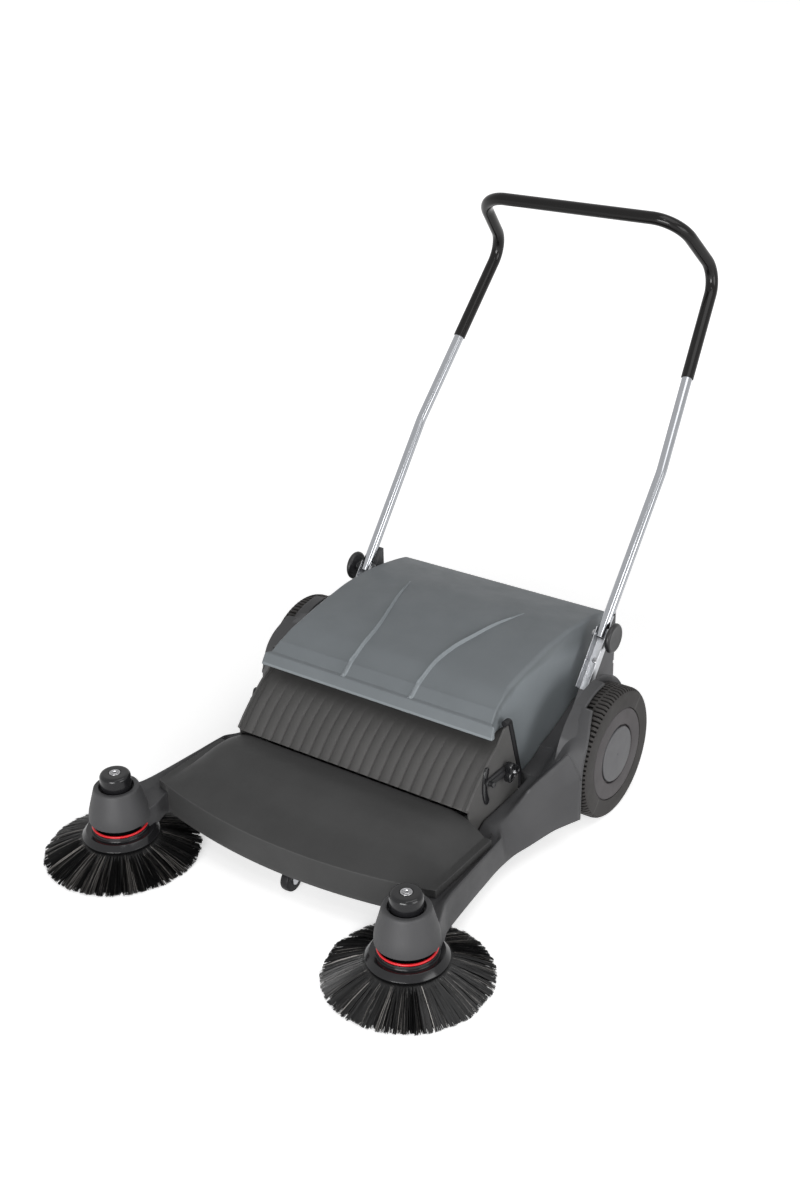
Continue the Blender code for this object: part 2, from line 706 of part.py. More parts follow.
def front_hood():
    """The hood between the arms, with the upright apron at its front."""
    half = [0, 0.09, 0.18, 0.235, 0.262, 0.284, 0.302, 0.320, HOOD_HALF_WIDTH]
    xs = [-x for x in reversed(half[1:])] + half
    shares = [1.0, 0.90, 0.74, 0.62, 0.45, 0.28, 0.12, 0.0]
    grid = []
    for share in shares:
        row = []
        for x in xs:
            row.append(Vector((x, lerp(HOOD_BACK_Y, hood_front_y(x), share), hood_z(share, x))))
        grid.append(row)
    hood = add("front_hood", grid_shell(grid, WALL), "hood_plastic")
    apron_xs = [APRON_HALF_WIDTH * (k / 6 - 1) for k in range(13)]
    apron = []
    for z in (APRON_FOOT_Z, HOOD_EDGE_Z - 0.0005):
        apron.append([Vector((x, hood_front_y(x) + 0.0002, z)) for x in apron_xs])
    join(hood, grid_shell(apron, WALL), "hood_apron")
    dissolve(hood)


# Ribbed brush cover and its cheeks

COVER_PROFILE = [(-0.365, 0.157), (-0.343, 0.180), (-0.306, 0.212), (-0.262, 0.241), (-0.190, 0.262)]


def cheek_outline():
    """Side view of a cheek: along the cover, up to the trim and down to the axle arm."""
    rise = 0.004
    upper = [(y, z + rise) for y, z in COVER_PROFILE[:4]]
    top, low = CHEEK_TRIM
    return upper + [(top[0] - 0.012, top[1] - 0.002), top, low, (low[0], 0.066), (-0.345, 0.066),
                    (-0.3585, 0.100), (-0.3585, 0.153)]


def brush_cover():
    """The fluted panel over the main brush, with its cheeks; the flutes fade out at the top."""
    outer = COVER_HALF_WIDTH
    half = outer - CHEEK_WALL / 2
    columns = 2 * FLUTES
    grid = []
    for k, (y, z) in enumerate(COVER_PROFILE):
        before = COVER_PROFILE[max(k - 1, 0)]
        after = COVER_PROFILE[min(k + 1, len(COVER_PROFILE) - 1)]
        slope = Vector((0, after[0] - before[0], after[1] - before[1])).normalized()
        outward = Vector((0, -slope.z, slope.y))
        depth = FLUTE_DEPTH * max(1 - k / 3.5, 0)
        row = []
        fluted = half - FLUTE_MARGIN
        across = [-half] + [lerp(-fluted, fluted, j / columns) for j in range(columns + 1)] + [half]
        narrowing = 0.957 if k == len(COVER_PROFILE) - 1 else 1
        for j, x in enumerate(across):
            rise = 0.0 if j % 2 else depth
            if j in (0, len(across) - 1):
                rise = 0.0
            row.append(Vector((x * narrowing, y, z)) - outward * (FLUTE_DEPTH - rise))
        grid.append(row)
    cover = add("brush_cover", grid_shell(grid, COVER_WALL), "cover_plastic", sharp=60)
    for side, suffix in ((1, "right"), (-1, "left")):
        cheek = side_plate(cheek_outline(), outer - CHEEK_WALL, outer)
        join(cover, sided(cheek, side), "cover_cheek_" + suffix)
        holes = [
            rod(SWING_PIN_RADIUS + SEAT, outer - 0.012, outer + 0.008, SMALL, on_x(SWING_Y, SWING_Z)),
            slot_cutter(outer - 0.012, outer + 0.008),
        ]
        cut(cover, sided(group(*holes), side), "cheek_holes_" + suffix)
    dissolve(cover)


def cheek_trim(name, side):
    """Round rubber edge along the rear of a cheek."""
    top, low = CHEEK_TRIM
    radius = 0.0045
    x = COVER_HALF_WIDTH - CHEEK_WALL / 2
    reach = radius + 3 * SEAT
    slope = Vector((0, low[0] - top[0], low[1] - top[1])).normalized()
    outward = Vector((0, -slope.z, slope.y)) * -1
    if outward.y < 0:
        outward = -outward
    shift = outward * reach
    corners = [Vector((x, top[0] - 0.010, top[1] + 0.002 + radius)),
               Vector((x, top[0], top[1])) + shift + Vector((0, 0, radius)),
               Vector((x, low[0], low[1])) + shift,
               Vector((x, low[0] + reach, low[1] - 0.030))]
    path = rounded_path(corners, [0.004, 0.004])
    add(name, sided(swept(path, radius, 6), side), "rubber")


# Main brush on its swinging arms

def swing_arm(name, side):
    """Arm inside the tunnel from the pivot to the brush shaft."""
    x0 = MAIN_BRUSH_HALF_LENGTH + 0.010
    x1 = x0 + ARM_PLATE
    pivot = Vector((0, SWING_Y, SWING_Z))
    axle = Vector((0, MAIN_BRUSH_Y, MAIN_BRUSH_Z))
    outline = link_outline(pivot, axle, 0.012, 0.016)
    arm = add(name, sided(side_plate(outline, x0, x1), side), "painted_steel", (0, SWING_Y, SWING_Z))
    pin = rod(SWING_PIN_RADIUS, x1 - 0.001, COVER_HALF_WIDTH + 0.016, SMALL, on_x(SWING_Y, SWING_Z))
    join(arm, sided(pin, side), name + "_pin")
    bore = rod(BRUSH_SHAFT_RADIUS + SEAT, x0 - 0.004, x1 + 0.004, SMALL, on_x(MAIN_BRUSH_Y, MAIN_BRUSH_Z))
    cut(arm, sided(bore, side), name + "_bore")


def link_outline(first, second, first_radius, second_radius, steps=5):
    """Two round ends joined by straight sides, as (y, z) points."""
    gap = Vector((second.y - first.y, second.z - first.z))
    heading = math.atan2(gap.y, gap.x)
    spread = math.acos((first_radius - second_radius) / gap.length)
    outline = []
    for k in range(steps + 1):
        angle = heading + spread + (2 * math.pi - 2 * spread) * k / steps
        outline.append((first.y + first_radius * math.cos(angle), first.z + first_radius * math.sin(angle)))
    for k in range(steps + 1):
        angle = heading - spread + 2 * spread * k / steps
        outline.append((second.y + second_radius * math.cos(angle),
                        second.z + second_radius * math.sin(angle)))
    return outline


def height_lever(name, side):
    """Lever outside a cheek, keyed on the pivot pin, with a tip that turns in."""
    x0 = COVER_HALF_WIDTH + SEAT * 2
    x1 = x0 + 0.005
    pivot = Vector((0, SWING_Y, SWING_Z))
    tip = Vector((0, SWING_Y - LEVER_REACH, SWING_Z + 0.005))
    outline = link_outline(pivot, tip, 0.011, 0.006)
    lever = add(name, sided(side_plate(outline, x0, x1), side), "black_plastic", (0, SWING_Y, SWING_Z))
    grip = rod(0.0053, x1 - 0.0013, x1 + 0.012, 10, on_x(tip.y, tip.z), 0.001)
    join(lever, sided(grip, side), name + "_grip")
    bore = rod(SWING_PIN_RADIUS + SEAT, x0 - 0.004, x1 + 0.004, SMALL, on_x(SWING_Y, SWING_Z))
    cut(lever, sided(bore, side), name + "_bore")


def star_outline(radius, depth, lobes, steps=21):
    """Outline of a lobed knob."""
    points = []
    for k in range(steps):
        angle = 2 * math.pi * k / steps
        size = radius - depth * 0.5 * (1 - math.cos(lobes * angle))
        points.append((size * math.cos(angle), size * math.sin(angle)))
    return points


def height_knob(name, side):
    """Lobed knob that clamps the lever."""
    x0 = COVER_HALF_WIDTH + 0.005 + SEAT * 4
    outline = [(SWING_Y + a, SWING_Z + b) for a, b in star_outline(HEIGHT_KNOB_RADIUS, 0.006, 3)]
    knob = add(name, sided(side_plate(outline, x0, x0 + HEIGHT_KNOB_WIDTH), side),
               "black_plastic", (0, SWING_Y, SWING_Z))
    bore = rod(SWING_PIN_RADIUS + SEAT, x0 - 0.004, x0 + 0.020, SMALL, on_x(SWING_Y, SWING_Z))
    cut(knob, sided(bore, side), name + "_bore")


def pinch(bm, tips):
    """Draws the square tip of each tuft together into one edge."""
    for face in tips:
        a, b, c, d = face.verts
        for first, second in ((a, b), (c, d)):
            middle = (first.co + second.co) / 2
            first.co = middle
            second.co = middle
    bmesh.ops.remove_doubles(bm, verts=[v for face in tips for v in face.verts], dist=0.00001)


def main_brush_bristles():
    """Core tube with tufts that run round it in slow spirals."""
    around, along = 8, 33
    x_low, x_high = -MAIN_BRUSH_HALF_LENGTH + 0.003, MAIN_BRUSH_HALF_LENGTH - 0.003
    bore = (BRUSH_SHAFT_RADIUS + SEAT) / math.cos(math.pi / around)
    profile = [(bore, x_low)]
    profile += [(MAIN_CORE_RADIUS, lerp(x_low, x_high, k / along)) for k in range(along + 1)]
    profile += [(bore, x_high)]
    bm = turned(profile, around, on_x(MAIN_BRUSH_Y, MAIN_BRUSH_Z))
    bm.normal_update()
    axis = Vector((0, MAIN_BRUSH_Y, MAIN_BRUSH_Z))
    step = (x_high - x_low) / along
    chosen = []
    for face in bm.faces:
        centre = face.calc_center_median()
        out = Vector((0, centre.y - axis.y, centre.z - axis.z))
        if out.length < MAIN_CORE_RADIUS * 0.9 or abs(face.normal.x) > 0.5:
            continue
        column = int((centre.x - x_low) / step)
        sector = int(round((math.atan2(out.z, out.y) / (2 * math.pi) * around) - 0.5)) % around
        if (column + sector) % 2 == 0:
            chosen.append(face)
    tufts = bmesh.ops.extrude_discrete_faces(bm, faces=chosen)["faces"]
    for face in tufts:
        centre = face.calc_center_median()
        out = Vector((0, centre.y - axis.y, centre.z - axis.z)).normalized()
        for vert in face.verts:
            offset = vert.co - centre
            tip = axis + out * MAIN_BRUSH_RADIUS * 0.996 + Vector((centre.x, 0, 0))
            vert.co = tip + offset * 0.7
    pinch(bm, tufts)
    add("main_brush_bristles", bm, "bristle", (0, MAIN_BRUSH_Y, MAIN_BRUSH_Z))


def pulley_profile(bore, groove, x, width, flange=PULLEY_FLANGE):
    """Flanged pulley: flat groove between two rims."""
    rim = groove + flange
    low, high = x - width / 2, x + width / 2
    return [(bore, low), (rim, low), (rim, low + 0.001), (groove, low + 0.0015),
            (groove, high - 0.0015), (rim, high - 0.001), (rim, high), (bore, high)]


def main_brush_drive():
    """Shaft and pulleys of the main brush."""
    place = on_x(MAIN_BRUSH_Y, MAIN_BRUSH_Z)
    pivot = (0, MAIN_BRUSH_Y, MAIN_BRUSH_Z)
    end = SIDE_BELT_X + 0.005
    add("main_brush_shaft", rod(BRUSH_SHAFT_RADIUS, -end, end, SMALL, place, 0.001), "steel", pivot)
    bore = BRUSH_SHAFT_RADIUS + SEAT
    width = MAIN_BELT_WIDTH + 0.001
    main = pulley_profile(bore, BRUSH_PULLEY_RADIUS, MAIN_BELT_X, width)
    side = pulley_profile(bore, SIDE_PULLEY_RADIUS, SIDE_BELT_X, 0.009, SIDE_BELT_RADIUS / 2)
    add("brush_pulley_right", turned(main[:-1] + side[1:], SMALL, place), "nylon", pivot)
    add("brush_pulley_left", sided(turned(side, SMALL, place), -1), "nylon", pivot)


# Belts

def tangent_points(first, second):
    """Outer or crossing tangent of two circles given as (centre, radius, turn)."""
    (c1, r1, s1), (c2, r2, s2) = first, second
    gap = c2 - c1
    length = gap.length
    along = gap / length
    normal = Vector((-along.y, along.x))
    share = (s1 * r1 - s2 * r2) / length
    lean = along * share + normal * math.sqrt(1 - share * share)
    return c1 + lean * (s1 * r1), c2 + lean * (s2 * r2)


def belt_loop(circles, steps=8):
    """Closed (y, z) path round pulleys; turn is +1 where the belt passes on the left."""
    spans = []
    count = len(circles)
    for i in range(count):
        spans.append(tangent_points(circles[i], circles[(i + 1) % count]))
    path = []
    for i in range(count):
        centre, radius, turn = circles[i]
        arrive, leave = spans[i - 1][1], spans[i][0]
        a0 = math.atan2(arrive.y - centre.y, arrive.x - centre.x)
        a1 = math.atan2(leave.y - centre.y, leave.x - centre.x)
        sweep = (a0 - a1) * turn % (2 * math.pi)
        for k in range(steps + 1):
            angle = a0 - turn * sweep * k / steps
            path.append(centre + Vector((math.cos(angle), math.sin(angle))) * radius)
    return path


def main_belt():
    """Flat belt from the wheel axle over the tensioner to the main brush."""
    wheel, brush = Vector((0, AXLE_Z)), Vector((MAIN_BRUSH_Y, MAIN_BRUSH_Z))
    roller = Vector((TENSIONER_Y, TENSIONER_Z))
    lift = 2 * SEAT

    def loop(extra):
        return belt_loop([
            (wheel, DRIVE_PULLEY_RADIUS + lift + extra, -1),
            (roller, TENSIONER_RADIUS + lift + MAIN_BELT_THICKNESS - extra, 1),
            (brush, BRUSH_PULLEY_RADIUS + lift + extra, -1),
        ])

    inner, outer = loop(0.0), loop(MAIN_BELT_THICKNESS)
    bm = bmesh.new()
    half = MAIN_BELT_WIDTH / 2 - 0.0015
    rings = []
    for x, path in ((-half, inner), (half, inner), (half, outer), (-half, outer)):
        rings.append([bm.verts.new((MAIN_BELT_X + x, p.x, p.y)) for p in path])
    for first, second in zip(rings, rings[1:] + rings[:1]):
        bridge(bm, first, second)
    add("main_belt", bm, "belt_rubber")


def side_belt(name, side):
    """Round belt with a quarter twist from the brush shaft to a side brush's spindle."""
    steps = 6
    reach = SIDE_PULLEY_RADIUS + SIDE_BELT_RADIUS + 3 * SEAT
    points = []
    for k in range(steps + 1):
        angle = -math.pi / 2 + math.pi * k / steps
        points.append(Vector((SIDE_BELT_X, MAIN_BRUSH_Y + reach * math.cos(angle),
                              MAIN_BRUSH_Z + reach * math.sin(angle))))
    for k in range(steps + 1):
        angle = -math.pi * k / steps
        points.append(Vector((TOWER_X + reach * math.cos(angle), TOWER_Y + reach * math.sin(angle),
                              SPINDLE_PULLEY_Z)))
    add(name, sided(swept(points, SIDE_BELT_RADIUS, 6, closed=True), side), "belt_rubber")


# Side brushes

def side_brush(side, suffix):
    """Flange with spindle and pulley, bristles, red ring, stem, dial and screw of one brush."""
    place = on_z(TOWER_X, TOWER_Y)
    pivot = (side * TOWER_X, TOWER_Y, 0)
    bore = STEM_RADIUS + SEAT
    under = FLANGE_RIM_Z - 0.0035
    low = under - 0.0035
    pulley = SPINDLE_PULLEY_Z
    profile = [
        (bore, low), (0.040, under), (FLANGE_RADIUS - 0.003, under), (FLANGE_RADIUS, FLANGE_RIM_Z),
        (FLANGE_TOP_RADIUS, FLANGE_TOP_Z), (COLLAR_RADIUS + 0.001, FLANGE_TOP_Z),
        (COLLAR_RADIUS, COLLAR_TOP_Z), (0.030, COLLAR_TOP_Z),
        (SPINDLE_RADIUS + 0.003, COLLAR_TOP_Z + 0.003), (SPINDLE_RADIUS, pulley - 0.004),
        (SIDE_PULLEY_RADIUS + PULLEY_FLANGE, pulley - 0.004), (SIDE_PULLEY_RADIUS, pulley - 0.0015),
        (SIDE_PULLEY_RADIUS, pulley + 0.0015), (SIDE_PULLEY_RADIUS + PULLEY_FLANGE, pulley + 0.004),
        (bore, pulley + 0.004),
    ]
    add("side_brush_flange_" + suffix, sided(turned(profile, ROUND, place), side), "gloss_black", pivot)
    add("side_brush_bristles_" + suffix, sided(side_bristles(), side), "bristle", pivot)
    ring_z = COLLAR_TOP_Z + SEAT + RING_THICKNESS
    turns = [2 * math.pi * k / ROUND for k in range(ROUND)]
    circle = [Vector((TOWER_X + RING_RADIUS * math.cos(a), TOWER_Y + RING_RADIUS * math.sin(a), ring_z))
              for a in turns]
    add("side_brush_ring_" + suffix, sided(swept(circle, RING_THICKNESS, 5, closed=True), side),
        "red_rubber", pivot)
    dial_low = TOWER_TOP_Z - DIAL_RECESS + SEAT
    stem = [(0, 0.030), (0.011, 0.030), (0.011, low - SEAT), (STEM_RADIUS, low - SEAT),
            (STEM_RADIUS, dial_low + 0.022), (0, dial_low + 0.022)]
    add("lift_stem_" + suffix, sided(turned(stem, SMALL, place), side), "steel", pivot)
    hole = STEM_RADIUS + SEAT
    dial = [(0, dial_low + 0.030), (hole, dial_low + 0.030), (hole, dial_low),
            (DIAL_RADIUS - 0.002, dial_low), (DIAL_RADIUS, dial_low + 0.003),
            (DIAL_RADIUS, DIAL_TOP_Z - 0.004), (DIAL_RADIUS - 0.003, DIAL_TOP_Z - 0.001),
            (DIAL_RADIUS - 0.006, DIAL_TOP_Z), (0.011, DIAL_TOP_Z), (0.011, DIAL_TOP_Z - 0.003),
            (0, DIAL_TOP_Z - 0.003)]
    add("height_dial_" + suffix, sided(turned(dial, ROUND, place), side), "gloss_black", pivot)
    screw_low = DIAL_TOP_Z - 0.003 + SEAT
    screw = [(0, screw_low), (0.0100, screw_low), (0.0100, DIAL_TOP_Z + 0.0005),
             (0.0085, DIAL_TOP_Z + 0.001), (0.0065, DIAL_TOP_Z + 0.001), (0.0055, DIAL_TOP_Z),
             (0, DIAL_TOP_Z)]
    add("dial_screw_" + suffix, sided(turned(screw, SMALL, place), side), "steel", pivot)


def side_bristles():
    """Splayed tufts in three rows, grown from the cone face of their backing ring."""
    sectors, rows = 56, 3
    top = FLANGE_RIM_Z - 0.0035 - SEAT
    outer, inner = (FLANGE_RADIUS - 0.003, top), (0.046, top - 0.015)
    cone = [(lerp(outer[0], inner[0], k / rows), lerp(outer[1], inner[1], k / rows))
            for k in range(rows + 1)]
    bm = turned([(0.043, top)] + cone, sectors, on_z(TOWER_X, TOWER_Y))
    bm.normal_update()
    centre = Vector((TOWER_X, TOWER_Y, 0))
    chosen = []
    aims = []
    for face in bm.faces:
        middle = face.calc_center_median()
        place = middle - centre
        radius = math.hypot(place.x, place.y)
        for row in range(rows):
            on_row = abs(radius - (cone[row][0] + cone[row + 1][0]) / 2) < 0.0015
            turn = math.atan2(place.y, place.x)
            sector = int(math.floor(turn / (2 * math.pi) * sectors)) % sectors
            if on_row and place.z < top - 0.001 and (sector + row) % 2 == 0:
                reach = SIDE_BRUSH_RADIUS - BRISTLE_ROW_STEP * row - 0.002
                aim = centre + Vector((math.cos(turn) * reach, math.sin(turn) * reach, 0))
                aim.z = BRISTLE_TIP_Z + 0.002
                chosen.append(face)
                aims.append((middle, aim))
    tufts = bmesh.ops.extrude_discrete_faces(bm, faces=chosen)["faces"]
    for face in tufts:
        middle = face.calc_center_median()
        aim = min(aims, key=lambda pair: (pair[0] - middle).length)[1]
        for vert in face.verts:
            vert.co = aim + (vert.co - middle) * 0.7
            vert.co.z = max(vert.co.z, BRISTLE_TIP_Z)
    pinch(bm, tufts)
    return bm


# Wheels

def wheel(side, suffix):
    """Tyre, disc, hub cap and axle of one wheel."""
    place = on_x(0, AXLE_Z)
    pivot = (0, 0, AXLE_Z)
    inner, outer = WHEEL_INNER_X, WHEEL_FACE_X
    bead = RIM_RADIUS + SEAT
    tyre = [
        (bead, inner + 0.002), (WHEEL_RADIUS - 0.006, inner), (WHEEL_RADIUS, inner + 0.006),
        (WHEEL_RADIUS, outer - 0.010), (WHEEL_RADIUS - 0.002, outer - 0.004),
        (WHEEL_RADIUS - 0.007, outer - 0.0005), (WHEEL_RADIUS - 0.014, outer), (bead, outer - 0.0015),
    ]
    add("tyre_" + suffix, sided(turned(tyre, FINE, place), side), "tyre_rubber", pivot)
    bore = AXLE_RADIUS + SEAT
    recess = CAP_RADIUS + CAP_GAP
    disc = [
        (bore, inner + 0.0015), (0.020, inner + 0.0015), (0.020, outer - 0.017),
        (RIM_RADIUS - 0.007, outer - 0.009), (RIM_RADIUS - 0.007, inner + 0.004),
        (RIM_RADIUS, inner + 0.004), (RIM_RADIUS, outer - 0.0012), (RIM_RADIUS - 0.003, outer - 0.0005),
        (recess, outer - 0.0005), (recess, outer - 0.008), (bore, outer - 0.008),
    ]
    add("wheel_disc_" + suffix, sided(turned(disc, FINE, place), side), "wheel_plastic", pivot)
    seat = outer - 0.008 + SEAT
    cap = [(0, outer), (CAP_RADIUS - 0.003, outer), (CAP_RADIUS, outer - 0.002), (CAP_RADIUS, seat),
           (CAP_RADIUS - 0.003, seat), (CAP_RADIUS - 0.003, outer - 0.003), (0, outer - 0.003)]
    add("hub_cap_" + suffix, sided(turned(cap, ROUND, place), side), "cap_plastic", pivot)
    axle = rod(AXLE_RADIUS, AXLE_INNER_X, outer - 0.0045, SMALL, place, 0.001)
    add("axle_" + suffix, sided(axle, side), "steel", pivot)


def wheel_bearing(name, side):
    """Flanged bush in the wheel arch."""
    bore = AXLE_RADIUS + SEAT
    low = ARCH_PANEL_X - WALL - SEAT
    profile = [(bore, low - 0.0025), (BEARING_RADIUS + 0.004, low - 0.0025), (BEARING_RADIUS + 0.004, low),
               (BEARING_RADIUS, low), (BEARING_RADIUS, ARCH_PANEL_X), (bore, ARCH_PANEL_X)]
    add(name, sided(turned(profile, SMALL, on_x(0, AXLE_Z)), side), "nylon")


def drive_parts():
    """Pulley on the driving axle and the roller that keeps the belt tight."""
    width = MAIN_BELT_WIDTH + 0.001
    profile = pulley_profile(AXLE_RADIUS + SEAT, DRIVE_PULLEY_RADIUS, MAIN_BELT_X, width)
    add("drive_pulley", turned(profile, ROUND, on_x(0, AXLE_Z)), "nylon", (0, 0, AXLE_Z))
    low, high = MAIN_BELT_X - MAIN_BELT_WIDTH / 2 + 0.0005, MAIN_BELT_X + MAIN_BELT_WIDTH / 2 - 0.0005
    roller = ring(0.003 + SEAT, TENSIONER_RADIUS, low, high, SMALL, on_x(TENSIONER_Y, TENSIONER_Z))
    add("tensioner_roller", roller, "nylon", (0, TENSIONER_Y, TENSIONER_Z))


# Hopper

HOPPER_CROWN = [(-0.279, 0.273), (-0.268, 0.290), (-0.252, 0.294), (-0.242, 0.305), (-0.181, 0.327),
                (-0.079, 0.339), (-0.008, 0.346), (0.046, 0.3455), (0.101, 0.342), (0.158, 0.335),
                (HOPPER_REAR_Y, 0.327)]
LIP_FOOT = [(-0.279, 0.2675), (-0.226, 0.2690), (-0.177, 0.2660)]
MOUTH_EDGE = [(-0.179, 0.3235), (-0.179, 0.242), (-0.143, 0.123), (-0.126, HOPPER_FLOOR_Z + 0.012)]


def crown_z(y):
    return between(y, HOPPER_CROWN)


def bucket_section(y, inset):
    """Closed outline of the hopper at y, counted round from the left foot."""
    half = HOPPER_HALF_WIDTH - inset
    top_half = HOPPER_TOP_HALF_WIDTH - inset
    top = crown_z(y) - inset
    low = HOPPER_FLOOR_Z + inset
    edge = HOPPER_EDGE - inset
    right = [(half, low), (top_half + 0.001, top - edge)]
    for angle in (30, 60, 90):
        a = math.radians(angle)
        right.append((top_half - edge + edge * math.cos(a), top - edge + edge * math.sin(a)))
    left = [(-x, z) for x, z in reversed(right)]
    lean = HOPPER_REAR_LEAN if y > 0.159 else 0
    return [Vector((x, y - lean * (z == low), z)) for x, z in right + left]


def bucket(ys, inset):
    """Loft of the hopper's body through its sections."""
    bm = bmesh.new()
    rings = []
    for y in ys:
        rings.append([bm.verts.new(point) for point in bucket_section(y, inset)])
    for first, second in zip(rings, rings[1:]):
        bridge(bm, first, second)
    bm.faces.new(rings[0])
    bm.faces.new(rings[-1])
    return bm


def lip_half_width(y):
    """The top skin widens from the body to the lip's lower edge."""
    return between(y, [(-0.279, LIP_HALF_WIDTH), (-0.268, 0.262), (-0.242, 0.258),
                       (-0.181, HOPPER_TOP_HALF_WIDTH)])


def rib_x(y):
    """Distance of a raised rib from the middle: it swings outwards towards the rear."""
    share = max((y + 0.235) / 0.293, 0)
    return 0.068 + 0.069 * share ** 1.45


def hopper():
    """The lift-off debris hopper with its lip and two raised ribs."""
    ys = [y for y, _ in HOPPER_CROWN if y > -0.185]
    body = add("hopper", bucket(ys, 0), "hopper_plastic", sharp=40)
    room = bucket([-0.230] + ys[1:-1] + [HOPPER_REAR_Y - HOPPER_WALL], HOPPER_WALL)
    cut(body, room, "hopper_room")
    sill = MOUTH_EDGE[-1]
    mouth = [(-0.300, 0.020), (-0.300, 0.3135), *MOUTH_EDGE, (sill[0] + 0.006, sill[1]),
             (sill[0] + 0.006, 0.020)]
    cut(body, side_plate(mouth, -0.300, 0.300), "hopper_mouth")
    overhang = []
    front = [point for point in HOPPER_CROWN if point[0] < -0.2]
    for y, z in front + [(-0.177, crown_z(-0.177) - 0.0005)]:
        half = lip_half_width(y) - 0.002
        foot = between(y, LIP_FOOT)
        end = [Vector((half - 0.003, y, z)), Vector((half + 0.001, y, z - 0.004)),
               Vector((half + 0.001, y, foot))]
        row = [Vector((-point.x, point.y, point.z)) for point in reversed(end)]
        row += [Vector((half * k / 4, y, z)) for k in range(-3, 4)]
        overhang.append(row + end)
    join(body, grid_shell(overhang, HOPPER_WALL), "hopper_lip")
    for side, suffix in ((1, "right"), (-1, "left")):
        join(body, sided(rib(), side), "hopper_rib_" + suffix)
    dissolve(body)


def rib():
    """A ridge of triangular section that lies on the crown and ends in a gusset at the lip."""
    ys = [-0.262, -0.243, -0.225, -0.190, -0.150, -0.100, -0.040, 0.058]
    bm = bmesh.new()
    rings = []
    for y in ys:
        height = between(y, [(-0.262, 0.002), (-0.243, 0.0075), (-0.225, 0.0060), (-0.040, 0.0045),
                             (0.058, 0.0012)])
        width = between(y, [(-0.262, 0.006), (-0.225, 0.0045), (-0.040, 0.0035), (0.058, 0.0015)])
        x, z = rib_x(y), crown_z(y)
        outline = [(x - width, z - 0.002), (x, z + height), (x + width, z - 0.002)]
        rings.append([bm.verts.new((a, y, b)) for a, b in outline])
    for first, second in zip(rings, rings[1:]):
        bridge(bm, first, second)
    bm.faces.new(rings[0])
    bm.faces.new(rings[-1])
    return bm


# Members between the side frames

def cross_members():
    """Beams that tie the frames together, and the plate that guides the dirt upwards."""
    reach = FRAME_INNER_X - SEAT
    top = HOPPER_FLOOR_Z - SEAT
    rear = block((-reach, 0.122, 0.042), (reach, 0.150, top))
    beam = add("rear_beam", rear, "painted_steel")
    cut(beam, block((-reach - 0.01, 0.122 + SHEET, 0.030), (reach + 0.01, 0.150 - SHEET, top - SHEET)),
        "rear_beam_hollow")
    radius = MAIN_BRUSH_RADIUS + 0.006
    rows = []
    for degrees in (-55, -43, -31, -20, -10):
        a = math.radians(degrees)
        rows.append((MAIN_BRUSH_Y + radius * math.cos(a), MAIN_BRUSH_Z + radius * math.sin(a)))
    rows += [(-0.160, 0.0785), (-0.140, 0.0785), (-0.140, 0.045)]
    grid = [[Vector((reach * (k / 2 - 1), y, z)) for k in range(5)] for y, z in rows]
    add("throw_plate", grid_shell(grid, SHEET), "painted_steel")


# Caster

def caster():
    """Small swivel caster under the hood's front."""
    x, y = CASTER_X, CASTER_Y
    apron_y = hood_front_y(x) + WALL + 0.0012
    plate = block((x - 0.024, apron_y, CASTER_PLATE_Z - 0.004), (x + 0.024, y + 0.030, CASTER_PLATE_Z))
    bracket = add("caster_bracket", plate, "zinc")
    join(bracket, block((x - 0.024, apron_y, CASTER_PLATE_Z - 0.001), (x + 0.024, apron_y + 0.004, 0.100)),
         "caster_bracket_back")
    stem_radius = 0.005
    cut(bracket, rod(stem_radius + SEAT, 0.050, 0.080, SMALL, on_z(x, y)), "caster_bracket_hole")
    axle_y = y - CASTER_TRAIL
    fork_top = CASTER_PLATE_Z - 0.004 - SEAT
    half = CASTER_WIDTH / 2 + 0.001
    fork = add("caster_fork", block((x - half - SHEET, y - 0.024, fork_top - 0.003),
                                    (x + half + SHEET, y + 0.014, fork_top)), "zinc", (x, y, 0))
    pivot, axle = Vector((0, y - 0.002, fork_top - 0.003)), Vector((0, axle_y, CASTER_RADIUS))
    for k, sign in enumerate((1, -1)):
        outline = link_outline(pivot, axle, 0.012, 0.008, 5)
        outline = [(a, min(b, fork_top - 0.001)) for a, b in outline]
        x0 = x + sign * half
        join(fork, side_plate(outline, min(x0, x0 + sign * SHEET), max(x0, x0 + sign * SHEET)),
             "caster_leg_%d" % k)
    pin = rod(0.003, x - half - SHEET, x + half + SHEET, 10, on_x(axle_y, CASTER_RADIUS))
    join(fork, pin, "caster_axle")
    stem = [(0, fork_top - 0.001), (stem_radius, fork_top - 0.001),
            (stem_radius, CASTER_PLATE_Z + SEAT), (0.009, CASTER_PLATE_Z + SEAT),
            (0.009, CASTER_PLATE_Z + 0.005), (0, CASTER_PLATE_Z + 0.005)]
    join(fork, turned(stem, SMALL, on_z(x, y)), "caster_stem")
    bore = 0.003 + SEAT
    low, high = x - CASTER_WIDTH / 2, x + CASTER_WIDTH / 2
    tread = [(bore, low), (CASTER_RADIUS - 0.003, low), (CASTER_RADIUS, low + 0.003),
             (CASTER_RADIUS, high - 0.003), (CASTER_RADIUS - 0.003, high), (bore, high)]
    add("caster_wheel", turned(tread, ROUND, on_x(axle_y, CASTER_RADIUS)), "rubber",
        (x, axle_y, CASTER_RADIUS))


# Handle

